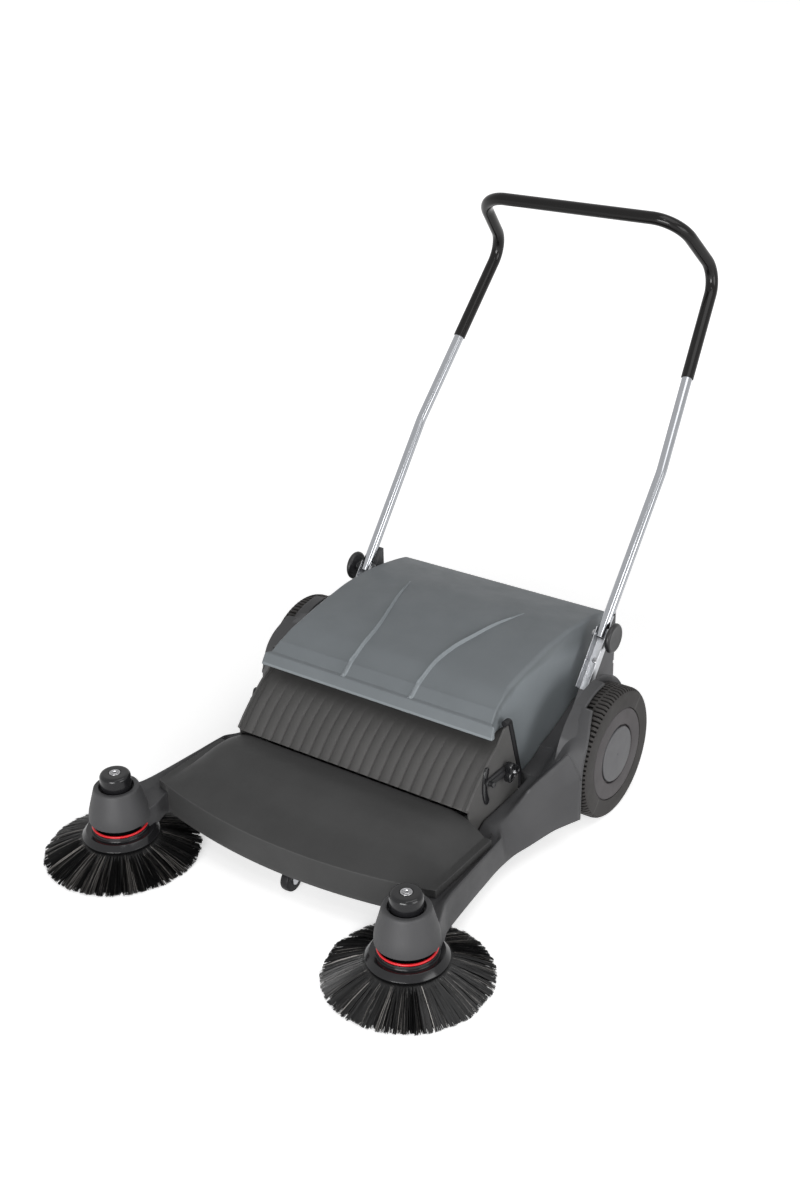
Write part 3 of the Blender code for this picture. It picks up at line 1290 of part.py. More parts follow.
def handle_corners():
    """Corner points of the bent tube, from the right-hand pivot to the left-hand one."""
    knee = leg_point((LEG_KNEE_Z - PIVOT_Z) / LEG.z, 0, PIVOT_X + 0.003)
    rear_y = leg_point((REAR_BEND_Z - PIVOT_Z) / LEG.z, 0).y
    right = [leg_point(-TUBE_END, 0, PIVOT_X), knee, Vector((REAR_BEND_X, rear_y, REAR_BEND_Z)),
             Vector((TOP_BAR_X, TOP_BAR_Y, TOP_BAR_Z))]
    left = [Vector((-p.x, p.y, p.z)) for p in reversed(right)]
    return right + left


def handle():
    """The folding push handle: chromed tube and the black sleeve over its upper part."""
    corners = handle_corners()
    radii = [KNEE_BEND, REAR_BEND, TOP_BEND]
    path = rounded_path(corners, radii + radii[::-1])
    pivot = (0, PIVOT_Y, PIVOT_Z)
    tube = add("handle_tube", swept(path, TUBE_RADIUS, 8, TUBE_BORE), "chrome", pivot)
    for side, suffix in ((1, "right"), (-1, "left")):
        hole = rod(BOLT_RADIUS + 3 * SEAT, PIVOT_X - 0.025, PIVOT_X + 0.025, 8,
                   on_x(PIVOT_Y, PIVOT_Z))
        cut(tube, sided(hole, side), "handle_tube_hole_" + suffix)
    knee, bend = corners[1], corners[2]
    start = knee.lerp(bend, (SLEEVE_START_Z - knee.z) / (bend.z - knee.z))
    upper = [start] + [p for p in path if p.z > SLEEVE_START_Z] + [Vector((-start.x, start.y, start.z))]
    add("handle_sleeve", swept(upper, SLEEVE_RADIUS, 8, TUBE_RADIUS + SEAT * 2), "sleeve_black", pivot)
    return max(p.y for p in path) + SLEEVE_RADIUS


def handle_bracket(name, side):
    """Bent steel channel on the post, open to the front, that the tube's end turns in."""
    half, inner = BRACKET_HALF_WIDTH, BRACKET_HALF_INNER
    back = -(BRACKET_BACK + SHEET)
    outline = [(-half, back), (half, back), (half, BRACKET_FRONT), (inner, BRACKET_FRONT),
               (inner, -BRACKET_BACK), (-inner, -BRACKET_BACK), (-inner, BRACKET_FRONT),
               (-half, BRACKET_FRONT)]
    channel = prism(outline, -BRACKET_REACH_DOWN, BRACKET_REACH_UP,
                    lambda a, b, depth: leg_point(depth, b, PIVOT_X + a))
    bracket = add(name, sided(channel, side), "zinc")
    hole = rod(BOLT_RADIUS + SEAT, PIVOT_X - 0.030, PIVOT_X + 0.030, SMALL, on_x(PIVOT_Y, PIVOT_Z))
    cut(bracket, sided(hole, side), name + "_hole")


def bracket_fasteners(suffix, side):
    """Bolt through the handle's pivot and screw in the web of its bracket."""
    head = PIVOT_X - BRACKET_HALF_WIDTH - SEAT
    bolt = [(0, head - 0.004), (0.008, head - 0.004), (0.008, head), (BOLT_RADIUS, head),
            (BOLT_RADIUS, CLAMP_KNOB_X - 0.002), (0, CLAMP_KNOB_X - 0.002)]
    add("clamp_bolt_" + suffix, sided(turned(bolt, SMALL, on_x(PIVOT_Y, PIVOT_Z)), side), "steel")
    turn = Vector((0, 0, 1)).rotation_difference(LEG_FRONT).to_matrix().to_4x4()
    seat = Matrix.Translation(leg_point(-0.052, -BRACKET_BACK + SEAT, PIVOT_X)) @ turn
    add("bracket_screw_" + suffix, sided(rod(0.0060, 0, 0.0035, SMALL, seat, 0.001), side), "steel")


def clamp_knob(name, side):
    """Round knob with a boss that clamps the handle."""
    boss = PIVOT_X + BRACKET_HALF_WIDTH + SEAT
    disc = CLAMP_KNOB_X - 0.006
    bore = BOLT_RADIUS + SEAT
    profile = [(0, disc + 0.006), (bore, disc + 0.006), (bore, boss), (0.010, boss), (0.012, disc),
               (CLAMP_KNOB_RADIUS - 0.004, disc), (CLAMP_KNOB_RADIUS, disc + 0.003),
               (CLAMP_KNOB_RADIUS, disc + 0.009), (CLAMP_KNOB_RADIUS - 0.003, disc + 0.012),
               (0, disc + 0.012)]
    add(name, sided(turned(profile, ROUND, on_x(PIVOT_Y, PIVOT_Z)), side), "black_plastic",
        (0, PIVOT_Y, PIVOT_Z))


def build():
    """Makes every piece, then centres the machine's footprint on the origin."""
    front_hood()
    brush_cover()
    main_brush_bristles()
    main_brush_drive()
    main_belt()
    drive_parts()
    hopper()
    cross_members()
    caster()
    for side, suffix in ((1, "right"), (-1, "left")):
        side_frame("side_frame_" + suffix, side)
        cheek_trim("cheek_trim_" + suffix, side)
        swing_arm("swing_arm_" + suffix, side)
        height_lever("height_lever_" + suffix, side)
        height_knob("height_knob_" + suffix, side)
        side_belt("side_belt_" + suffix, side)
        side_brush(side, suffix)
        wheel(side, suffix)
        wheel_bearing("wheel_bearing_" + suffix, side)
        bracket_fasteners(suffix, side)
        handle_bracket("handle_bracket_" + suffix, side)
        clamp_knob("clamp_knob_" + suffix, side)
    rear_reach = handle()
    front_reach = TOWER_Y - SIDE_BRUSH_RADIUS
    MACHINE.location.y = -(front_reach + rear_reach) / 2


build()
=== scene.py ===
"""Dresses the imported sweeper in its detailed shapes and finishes, and sets camera and light.

Shapes are drawn in the machine's own coordinates, in millimetres except for the hopper: the
wheel axle lies at y = 0, the floor at z = 0, the front is towards -Y and the right-hand side
is +X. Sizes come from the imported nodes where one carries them. Camera, lights and floor are
placed in metres.
"""
import json
import random
from math import acos, atan2, cos, degrees, pi, radians, sin, sqrt, tan

import bmesh
import bpy
from mathutils import Matrix, Vector


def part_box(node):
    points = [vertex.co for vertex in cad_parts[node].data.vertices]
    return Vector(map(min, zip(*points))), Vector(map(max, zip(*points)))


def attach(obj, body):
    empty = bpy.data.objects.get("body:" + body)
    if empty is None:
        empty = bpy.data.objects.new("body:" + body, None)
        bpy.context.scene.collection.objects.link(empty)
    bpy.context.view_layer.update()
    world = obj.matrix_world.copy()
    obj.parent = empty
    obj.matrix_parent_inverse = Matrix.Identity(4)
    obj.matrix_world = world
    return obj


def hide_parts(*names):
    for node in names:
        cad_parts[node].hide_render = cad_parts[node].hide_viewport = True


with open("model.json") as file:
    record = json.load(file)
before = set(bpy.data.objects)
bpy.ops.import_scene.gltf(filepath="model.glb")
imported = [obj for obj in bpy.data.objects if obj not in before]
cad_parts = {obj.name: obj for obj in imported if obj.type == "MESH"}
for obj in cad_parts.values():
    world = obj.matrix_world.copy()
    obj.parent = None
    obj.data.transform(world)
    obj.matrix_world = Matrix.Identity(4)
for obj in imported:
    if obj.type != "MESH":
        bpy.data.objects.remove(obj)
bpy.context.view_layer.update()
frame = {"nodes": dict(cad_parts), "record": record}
random.seed(11)

MM = 0.001
SIDES = {1: "right", -1: "left"}


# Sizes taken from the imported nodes

axle_low, axle_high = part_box("axle_right")
MACHINE = Vector((0, (axle_low.y + axle_high.y) / 2, 0))
AXLE_RADIUS = (axle_high.z - axle_low.z) / 2 / MM


def node_box(name):
    """A node's lowest and highest corners, its middle and its half size."""
    low, high = [(corner - MACHINE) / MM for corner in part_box(name)]
    return low, high, (low + high) / 2, (high - low) / 2


tyre_low, tyre_high, _, _ = node_box("tyre_right")
WHEEL_RADIUS = AXLE_Z = tyre_high.z / 2
WHEEL_INNER_X, WHEEL_FACE_X = tyre_low.x, tyre_high.x
RIM_RADIUS = node_box("wheel_disc_right")[3].z
CAP_RADIUS = node_box("hub_cap_right")[3].z

dial_low, dial_high, dial_middle, dial_half = node_box("height_dial_right")
TOWER_X, TOWER_Y = dial_middle.x, dial_middle.y
DIAL_RADIUS = dial_half.x
_, flange_high, _, flange_half = node_box("side_brush_flange_right")
FLANGE_RADIUS = flange_half.x
BRUSH_RADIUS = node_box("side_brush_bristles_right")[3].x
seal_low, _, seal_middle, seal_half = node_box("side_brush_ring_right")
COLLAR_TOP_Z = seal_low.z - 0.3
FLANGE_TOP_Z = COLLAR_TOP_Z - 6.5
FLANGE_RIM_Z = FLANGE_TOP_Z - 11.5
FLANGE_UNDER_Z = FLANGE_RIM_Z - 3.5
FLANGE_TOP_RADIUS = 66
COLLAR_RADIUS = 55

hopper_low = node_box("hopper")[0]
hood_low, hood_high, _, _ = node_box("front_hood")
CHEEK_X = node_box("brush_cover")[1].x
roller_low, roller_high, roller_middle, roller_half = node_box("main_brush_bristles")
star_low, star_high, star_middle, star_half = node_box("height_knob_right")
SWING_Y, SWING_Z = star_middle.y, 182
_, clamp_high, clamp_middle, clamp_half = node_box("clamp_knob_right")
PIVOT = Vector((292, clamp_middle.y, clamp_middle.z))


# Shape helpers

def lerp(a, b, share):
    return a + (b - a) * share


def clamp(value):
    """A value held between 0 and 1."""
    return min(max(value, 0), 1)


def spread(low, high, count):
    """Evenly spaced numbers from low to high, both included."""
    return [lerp(low, high, k / (count - 1)) for k in range(count)]


def flow(at, table):
    """Smooth monotone curve through a short list of (place, value) points."""
    last = len(table) - 1
    if at <= table[0][0]:
        return table[0][1]
    if at >= table[last][0]:
        return table[last][1]
    slopes = [(b[1] - a[1]) / (b[0] - a[0]) for a, b in zip(table, table[1:])]
    i = max(k for k in range(last) if table[k][0] <= at)

    def tangent(k):
        before, after = slopes[max(k - 1, 0)], slopes[min(k, last - 1)]
        return 2 * before * after / (before + after) if before * after > 0 else 0

    (a, start), (b, end) = table[i], table[i + 1]
    t = (at - a) / (b - a)
    turn = (1 - t) * tangent(i) - t * tangent(i + 1)
    return lerp(start, end, t * t * (3 - 2 * t)) + (b - a) * t * (1 - t) * turn


def flow_row(at, rows):
    """Every column of rows (place, value, ...) at a place between them."""
    return [flow(at, [(row[0], row[k]) for row in rows]) for k in range(1, len(rows[0]))]


def bend(start, control, end, t):
    """A place on the curve that leaves start towards control and reaches end."""
    return start * (1 - t) ** 2 + control * 2 * t * (1 - t) + end * t * t


def rounded(corners, steps=4, closed=False):
    """An outline of (a, b, reach) corners, each softened from reach before it to reach after it."""
    places = [Vector(corner[:2]) for corner in corners]
    last = len(places) - 1
    outline = []
    for i, (corner, place) in enumerate(zip(corners, places)):
        if len(corner) < 3 or corner[2] == 0 or (not closed and i in (0, last)):
            outline.append(tuple(place))
            continue
        into, out = places[i - 1] - place, places[i - last] - place
        start = place + into * min(corner[2] / into.length, 0.49)
        end = place + out * min(corner[2] / out.length, 0.49)
        outline += [tuple(bend(start, place, end, t)) for t in spread(0, 1, steps + 1)]
    return outline


def rectangle(a0, b0, a1, b1):
    return [(a0, b0), (a1, b0), (a1, b1), (a0, b1)]


def circle(count, radius):
    """Evenly spaced points round a circle."""
    turns = [2 * pi * k / count for k in range(count)]
    return [(radius * cos(turn), radius * sin(turn)) for turn in turns]


def around_x(x, y, z, radius, turn):
    """A place on a circle in the plane across X; the turn counts from +Y towards +Z."""
    return Vector((x, y + radius * cos(turn), z + radius * sin(turn)))


def around_tower(radius, turn, z):
    """A place round the right-hand brush's axis."""
    return Vector((TOWER_X + radius * cos(turn), TOWER_Y + radius * sin(turn), z))


def bridge(bm, first, second):
    """Faces between two rings of vertices; a ring of one vertex is a pole."""
    count = max(len(first), len(second))
    for i in range(count):
        j = (i + 1) % count
        if len(first) == 1:
            bm.faces.new((first[0], second[j], second[i]))
        elif len(second) == 1:
            bm.faces.new((first[i], first[j], second[0]))
        else:
            bm.faces.new((first[i], first[j], second[j], second[i]))


def joined(bm, sections, closed=False):
    """Rings of vertices joined one after the other, and the last to the first where closed."""
    rings = [[bm.verts.new(point) for point in section] for section in sections]
    for first, second in zip(rings, rings[1:] + rings[:closed]):
        bridge(bm, first, second)
    return rings


def turned(corners, sides, place=Matrix(), steps=4, closed=False):
    """A solid of revolution round local Z from softened (radius, height) corners."""
    sections = []
    for radius, height in rounded(corners, steps, closed):
        ring = circle(sides, radius) if radius > 0 else [(0, 0)]
        sections.append([place @ Vector((a, b, height)) for a, b in ring])
    bm = bmesh.new()
    joined(bm, sections, len(sections[0]) > 1)
    return bm


def on_x(y, z, x=0):
    """Places a turned shape with its axis along +X through (y, z); heights become x."""
    return Matrix.Translation((x, y, z)) @ Matrix.Rotation(pi / 2, 4, "Y")


def loft(sections):
    """A closed solid through rings of equally many points, with flat ends."""
    bm = bmesh.new()
    rings = joined(bm, sections)
    bm.faces.new(rings[0])
    bm.faces.new(rings[-1])
    return bm


def plate(outline, start, end, axis=0):
    """An outline in two axes, made solid from start to end along the third."""
    return loft([[Vector((*p[:axis], at, *p[axis:])) for p in outline] for at in (start, end)])


def swept(points, radius, sides=16, bore=0.0, closed=False):
    """A round bar or tube along a path."""
    last = len(points) - 1
    frames = []
    side = None
    for i, point in enumerate(points):
        before = points[i - 1] if closed or i else point
        after = points[i - last] if closed or i < last else point
        tangent = (after - before).normalized()
        if side is None:
            side = tangent.orthogonal()
        side = (side - tangent * side.dot(tangent)).normalized()
        frames.append((point, side, tangent.cross(side)))
    bm = bmesh.new()
    skins = []
    for size in [radius, bore] if bore else [radius]:
        ring = circle(sides, size)
        sections = [[point + u * a + v * b for a, b in ring] for point, u, v in frames]
        skins.append(joined(bm, sections, closed))
    for end in () if closed else (0, -1):
        if bore:
            bridge(bm, skins[0][end], skins[1][end])
        else:
            bm.faces.new(skins[0][end])
    return bm


def rounded_path(corners, radii, step):
    """A path through corner points, each rounded by an arc of its own radius."""
    path = [corners[0]]
    for before, corner, after, radius in zip(corners, corners[1:], corners[2:], radii):
        into = (corner - before).normalized()
        out = (after - corner).normalized()
        turn = into.angle(out)
        centre = corner + (out - into).normalized() * (radius / cos(turn / 2))
        start = corner - into * (radius * tan(turn / 2)) - centre
        axis = into.cross(out).normalized()
        for angle in spread(0, turn, max(3, round(degrees(turn) / step)) + 1):
            path.append(centre + Matrix.Rotation(angle, 3, axis) @ start)
    return path + [corners[-1]]


def shell(grid, thickness):
    """A closed wall: a grid of outer points and the same grid set back along its normals.

    Rows run rearwards or upwards, and each row runs from left to right.
    """
    last_row, last = len(grid) - 1, len(grid[0]) - 1
    sections = []
    for i, row in enumerate(grid):
        inner = []
        for j, point in enumerate(row):
            along = grid[min(i + 1, last_row)][j] - grid[max(i - 1, 0)][j]
            across = row[min(j + 1, last)] - row[max(j - 1, 0)]
            inner.append(point - across.cross(along).normalized() * thickness)
        sections.append(row + inner[::-1])
    bm = bmesh.new()
    for ring in joined(bm, sections)[::last_row]:
        for j in range(last):
            bm.faces.new((ring[j], ring[j + 1], ring[-j - 2], ring[-j - 1]))
    return bm


def sided(bm, side):
    """Mirrors a right-hand shape to the left when side is -1."""
    if side < 0:
        bmesh.ops.scale(bm, vec=(-1, 1, 1), verts=bm.verts)
        bmesh.ops.reverse_faces(bm, faces=bm.faces)
    return bm


def meshed(name, bm):
    """A mesh from a shape that is finished with."""
    mesh = bpy.data.meshes.new(name)
    bm.to_mesh(mesh)
    bm.free()
    return mesh


def placed(name, data):
    """A new object in the scene."""
    obj = bpy.data.objects.new(name, data)
    bpy.context.scene.collection.objects.link(obj)
    return obj


def gather(*shapes):
    """Several closed shapes as one."""
    whole = bmesh.new()
    for shape in shapes:
        bmesh.ops.recalc_face_normals(shape, faces=shape.faces)
        mesh = meshed("shape", shape)
        whole.from_mesh(mesh)
        bpy.data.meshes.remove(mesh)
    return whole


def carved(bm, *tools, unit=MM):
    """The shape after each tool is cut from it; the cut itself is made in metres."""
    helpers = []
    for shape in (bm, *tools):
        bmesh.ops.scale(shape, vec=(unit, unit, unit), verts=shape.verts)
        bmesh.ops.recalc_face_normals(shape, faces=shape.faces)
        bmesh.ops.triangulate(shape, faces=shape.faces)
        helpers.append(placed("helper", meshed("helper", shape)))
    base = helpers[0]
    for cutter in helpers[1:]:
        modifier = base.modifiers.new("carve", "BOOLEAN")
        modifier.operation = "DIFFERENCE"
        modifier.solver = "EXACT"
        modifier.object = cutter
    graph = bpy.context.evaluated_depsgraph_get()
    mesh = bpy.data.meshes.new_from_object(base.evaluated_get(graph))
    result = bmesh.new()
    result.from_mesh(mesh)
    bpy.data.meshes.remove(mesh)
    for obj in helpers:
        bpy.data.objects.remove(obj, do_unlink=True)
    bmesh.ops.dissolve_limit(result, angle_limit=radians(0.1), verts=result.verts,
                             edges=result.edges)
    bmesh.ops.triangulate(result, faces=[f for f in result.faces if len(f.verts) > 4])
    bmesh.ops.scale(result, vec=(1 / unit, 1 / unit, 1 / unit), verts=result.verts)
    return result


def soften(obj, width):
    """Rounds an object's sharp edges."""
    modifier = obj.modifiers.new("soften", "BEVEL")
    modifier.width = width * MM
    modifier.segments = 2
    modifier.limit_method = "ANGLE"
    modifier.angle_limit = radians(38)
    modifier.use_clamp_overlap = True
    modifier.harden_normals = True


def piece(name, bm, slot, body, *nodes, crease=35, bevel=0.0, unit=MM):
    """A finished piece: moved to its place, given its finish, tied to a body, and hiding the nodes
    it replaces.
    """
    place = Matrix.Translation(MACHINE) @ Matrix.Scale(unit, 4)
    bmesh.ops.transform(bm, matrix=place, verts=bm.verts)
    bmesh.ops.recalc_face_normals(bm, faces=bm.faces)
    obj = placed(name, meshed(name, bm))
    obj.data.shade_smooth()
    obj.data.set_sharp_from_angle(angle=radians(crease))
    obj.data.materials.append(FINISHES[slot])
    if bevel:
        soften(obj, bevel)
    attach(obj, body)
    if nodes:
        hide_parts(*nodes)


def side_piece(side, name, bm, slot, body, *nodes, **look):
    """A piece drawn for the right-hand side; a name that ends in _ takes the side's name."""
    name, body, *nodes = [text + SIDES[side] if text[-1] == "_" else text
                          for text in (name, body, *nodes)]
    piece(name, sided(bm, side), slot, body, *nodes, **look)


# Finishes

def feed(tree, node, values):
    """Sets a node's inputs to values, or links them to sockets."""
    for key, value in values.items():
        if hasattr(value, "is_linked"):
            tree.links.new(value, node.inputs[key])
        else:
            node.inputs[key].default_value = value


def added(tree, kind, output, values, **settings):
    """An output of a new shader node."""
    node = tree.nodes.new("ShaderNode" + kind)
    for key, value in settings.items():
        setattr(node, key, value)
    feed(tree, node, values)
    return node.outputs[output]


def started(name):
    """A new material, its node tree, its shader and the place on the object."""
    material = bpy.data.materials.new(name)
    material.use_nodes = True
    tree = material.node_tree
    return material, tree, tree.nodes["Principled BSDF"], added(tree, "TexCoord", "Object", {})


def noise(tree, place, scale, detail=3.0, rough=0.5, stretch=None):
    """A noise value at the given scale; stretch draws it out along an axis."""
    if stretch:
        place = added(tree, "Mapping", "Vector", {"Vector": place, "Scale": stretch})
    values = {"Vector": place, "Scale": scale, "Detail": detail, "Roughness": rough}
    return added(tree, "TexNoise", "Fac", values)


def ranged(tree, value, low, high, start=0.3, end=0.7):
    """A value mapped from start..end to low..high."""
    values = {"Value": value, "From Min": start, "From Max": end, "To Min": low, "To Max": high}
    return added(tree, "MapRange", "Result", values)


def toned(colour, factor=1, lift=0):
    return (*[min(c * factor + lift, 1) for c in colour], 1)


def blended(tree, factor, first, second):
    """A colour between two colours or sockets."""
    return added(tree, "Mix", 2, {"Factor": factor, 6: first, 7: second}, data_type="RGBA")


def bumped(tree, height, strength, distance):
    values = {"Strength": strength, "Distance": distance, "Height": height}
    return added(tree, "Bump", "Normal", values)


def plastic(name, colour, roughness, uneven, grain, edge_wear_and_highlight, specular):
    """Moulded plastic: soft mottling, fine leathery grain, paler edges of rubbed wear and painted
    highlight.
    """
    material, tree, shader, place = started(name)
    clouds = ranged(tree, noise(tree, place, 9.0, 4.0), 0, 1)
    mottled = blended(tree, clouds, toned(colour, 1 - uneven), toned(colour, 1 + uneven))
    # Sharp edges are paled by pointiness: partly rubbed wear, partly painted highlight where
    # rounded edges catch the light.
    edges = ranged(tree, added(tree, "NewGeometry", "Pointiness", {}), 0, 1, 0.52, 0.62)
    smear = noise(tree, place, 24.0, 5.0, 0.6)
    feed(tree, shader, {
        "Base Color": blended(tree, edges, mottled, toned(colour, 1 + edge_wear_and_highlight * 2, 0.02 * edge_wear_and_highlight)),
        "Roughness": ranged(tree, smear, roughness - 0.06, roughness + 0.06),
        "Specular IOR Level": specular,
        "Normal": bumped(tree, noise(tree, place, 650.0, 2.0), grain, 0.0004)})
    return material


def metal(name, colour, roughness, streak, shine, tone):
    """Bare or plated metal with fine streaks and a slightly uneven shine."""
    material, tree, shader, place = started(name)
    streaks = noise(tree, place, 260.0, 3.0, 0.6, streak)
    clouds = noise(tree, place, 40.0, 4.0, 0.6)
    shade = ranged(tree, streaks, 0, 1)
    feed(tree, shader, {
        "Metallic": 1.0,
        "Base Color": blended(tree, shade, toned(colour, 1 - tone), toned(colour)),
        "Roughness": ranged(tree, clouds, max(roughness - shine, 0.03), roughness + shine),
        "Normal": bumped(tree, streaks, 0.03, 0.0001)})
    return material


def bristle(name, dark, sheen_colour, share):
    """Stiff strands: mostly black, some with a painted warm grey sheen from root to tip, standing
    in for light caught along them.
    """
    material, tree, shader, place = started(name)
    # Each strand's shade attribute holds its painted sheen, which pales its colour towards the
    # second colour.
    shade = added(tree, "Attribute", "Fac", {}, attribute_name="shade")
    fine = noise(tree, place, 420.0, 2.0)
    mixed = added(tree, "Math", 0, {0: fine, 1: 0.25, 2: shade}, operation="MULTIPLY_ADD")
    factor = ranged(tree, mixed, 0, 1, 1.0 - share, 1.15)
    feed(tree, shader, {
        "Base Color": blended(tree, factor, toned(dark), toned(sheen_colour)),
        "Roughness": ranged(tree, fine, 0.28, 0.42),
        "Specular IOR Level": 0.28})
    return material


# Colour, roughness, unevenness, grain, edge paling (rubbed wear and painted highlight) and specular
# level of each plastic
PLASTICS = {
    "frame_plastic": ((0.050, 0.050, 0.052), 0.55, 0.10, 0.3, 0.4, 0.28),
    "hood_plastic": ((0.039, 0.039, 0.039), 0.60, 0.10, 0.3, 0.7, 0.22),
    "cover_plastic": ((0.055, 0.054, 0.053), 0.60, 0.10, 0.3, 0.6, 0.25),
    "hopper_plastic": ((0.136, 0.150, 0.159), 0.52, 0.06, 0.25, 0.22, 0.32),
    "black_plastic": ((0.014, 0.014, 0.015), 0.38, 0.15, 0.2, 0.4, 0.35),
    "gloss_black": ((0.009, 0.009, 0.010), 0.16, 0.10, 0.02, 0.3, 0.30),
    "sleeve_black": ((0.006, 0.0055, 0.0055), 0.14, 0.10, 0.03, 0.2, 0.20),
    "tyre_rubber": ((0.036, 0.034, 0.033), 0.70, 0.16, 0.4, 0.25, 0.22),
    "wheel_plastic": ((0.066, 0.061, 0.063), 0.60, 0.08, 0.25, 0.3, 0.22),
    "cap_plastic": ((0.088, 0.088, 0.092), 0.52, 0.05, 0.15, 0.3, 0.3),
    "rubber": ((0.009, 0.009, 0.010), 0.45, 0.15, 0.3, 0.3, 0.20),
    "red_rubber": ((0.560, 0.012, 0.018), 0.30, 0.10, 0.03, 0.1, 0.4),
    "belt_rubber": ((0.020, 0.020, 0.020), 0.75, 0.15, 0.4, 0.3, 0.25),
    "painted_steel": ((0.030, 0.030, 0.032), 0.42, 0.12, 0.2, 0.6, 0.5),
    "nylon": ((0.230, 0.228, 0.215), 0.42, 0.06, 0.1, 0.2, 0.5),
}
# Colour, roughness, stretch of the streaks, unevenness of the shine and depth of the streaks
METALS = {
    "chrome": ((0.37, 0.38, 0.40), 0.12, (1, 0.15, 0.15), 0.02, 0.10),
    "zinc": ((0.56, 0.57, 0.59), 0.34, (1, 0.3, 0.3), 0.10, 0.14),
    "steel": ((0.38, 0.38, 0.39), 0.26, (0.3, 1, 1), 0.10, 0.20),
}
FINISHES = {name: plastic(name, *look) for name, look in PLASTICS.items()}
FINISHES |= {name: metal(name, *look) for name, look in METALS.items()}
# The second colour is the painted sheen of strands that look lit.
FINISHES["bristle"] = bristle("bristle", (0.004, 0.004, 0.0042), (0.40, 0.38, 0.36), 0.28)


# Wheels

def tyre():
    """The slotted tyre: two staggered rows of slots, the outer one wrapping over the shoulder."""
    pitches = 84
    depth = 7.8
    rim = WHEEL_RADIUS - RIM_RADIUS
    sections = []
    for pitch in range(pitches):
        for share, first, second in [(0, 0, 0), (0.03, 0, 1), (0.45, 0, 1), (0.48, 0, 0),
                                     (0.50, 0, 0), (0.53, 1, 0), (0.95, 1, 0), (0.98, 0, 0)]:
            # How far each place lies below the tread, its x, and how much of the slot it has
            inner = [(rim - 0.5, 4, 0), (30, 1, 0), (9, 0.2, 0), (4, 1.5, 0), (1.2, 4.5, 0),
                     (0.2, 7.2, 0), (0, 7.8, first), (0, 26.2, first), (0, 26.8, 0),
                     (0, 29.2, 0), (0, 29.8, second)]
            outer = [(0.2, -11, second), (1.2, -6.8, second), (3.5, -3.6, second),
                     (5.8, -1.9, second * 0.8), (6.3, -1.6, 0), (9.5, -0.3, 0), (14, 0, 0),
                     (rim - 3, 0, 0), (rim - 1.2, -0.4, 0), (rim - 0.6, -2.2, 0)]
            turn = 2 * pi * (pitch + share) / pitches
            section = []
            for start, rows in ((WHEEL_INNER_X, inner), (WHEEL_FACE_X, outer)):
                for drop, x, cut in rows:
                    sink = depth * cut
                    slant = sink * 0.35 if drop > 1 else 0
                    section.append(around_x(start + x - slant, 0, AXLE_Z,
                                            WHEEL_RADIUS - drop - sink, turn))
            sections.append(section)
    bm = bmesh.new()
    joined(bm, sections, True)
    return bm


def wheel(side):
    place = on_x(0, AXLE_Z)
    inner, face, rim = WHEEL_INNER_X, WHEEL_FACE_X, RIM_RADIUS
    side_piece(side, "tread_tyre_", tyre(), "tyre_rubber", "wheel_", "tyre_", crease=32)
    bore = AXLE_RADIUS + 0.3
    recess = CAP_RADIUS + 4.2
    disc = [(bore, inner + 1.5), (20, inner + 1.5, 1), (22, face - 17, 3), (rim - 7, face - 9, 3),
            (rim - 7, inner + 4, 1), (rim - 0.2, inner + 4, 1), (rim - 0.2, face - 2.2, 0.4),
            (rim - 1, face - 2.2, 0.4), (rim - 2.2, face - 0.2, 0.8),
            (recess + 1.5, face - 0.2, 0.8), (recess, face - 1.5, 0.8), (recess, face - 8, 0.8),
            (bore, face - 8)]
    side_piece(side, "wheel_face_", turned(disc, 128, place, 3), "wheel_plastic", "wheel_",
               "wheel_disc_")
    top, seat = face + 0.6, face - 7.5
    cap = [(0, top - 1.1), (1.6, top - 1.1, 0.4), (2.1, top, 0.4), (CAP_RADIUS, top, 2.2),
           (CAP_RADIUS, seat, 0.6), (50, seat, 0.6), (50, top - 3, 0.6), (0, top - 3)]
    side_piece(side, "wheel_cap_", turned(cap, 96, place), "cap_plastic", "wheel_", "hub_cap_")


# Side frames

WALL = 3.5
ARCH_RADIUS = WHEEL_RADIUS + 12
ARCH_PANEL_X = WHEEL_INNER_X - 3
ARCH_LIP_X = 356
ARCH_LIP_END = 88
FRAME_INNER_X = 259
FRAME_FRONT_X = CHEEK_X + 4
FRAME_REAR_Y = node_box("side_frame_right")[1].y
ARM_TOP_Z = 111.5
ARM_DIP_Z = 98
ARM_FOOT_Z = 52
NOTCH_X = 300.3

# Rows (y, x, z, x, z, ...) down the arm's outside, from the tower back to the wheel
ARM = [(y, inner, 55, inner, ARM_DIP_Z, rise, ARM_DIP_Z, crest, 111, edge, 108.5, foot, ARM_FOOT_Z)
       for y, inner, rise, crest, edge, foot in [
           (TOWER_Y + 12, 291, 355, 385, 388.2, 391), (TOWER_Y + 50, 291, 347, 371, 374.5, 378),
           (-558, NOTCH_X, 337, 354, 357.4, 361), (-550, NOTCH_X, 336, 352.5, 356, 360),
           (-535, FRAME_FRONT_X, 334.5, 350, 353.5, 358),
           (-420, FRAME_FRONT_X, 330, 340, 343, 345.5)]]
ARM += [(y, FRAME_FRONT_X, low, FRAME_FRONT_X, *rest) for y, low, *rest in [
    (-345, 55, ARM_DIP_Z, 328, 101, 334, 111, 337, 108.5, 340, ARM_FOOT_Z),
    (-310, 46, 112.5, 307.5, 113, 315, 110.5, 320, 103, 341, 52),
    (-264, 44, 114, 302, 114.5, 314, 120.5, 328.5, 98.5, 351, 53.5),
    (-222, 42, 116, 299.5, 116.5, 320.5, 146.5, 340.5, 110, 360.5, 55.5),
    (-200, 40, 117.5, 298.5, 118, 331, 163, 352, 120, 366.5, 57),
    (-172, 39, 120.5, 297.5, 121, 348.5, 184, 370, 140, 379, 59),
    (-144.5, 39, 125.5, 297.5, 126, 363, 204, 391.2, 159, 391.7, 60.5)]]


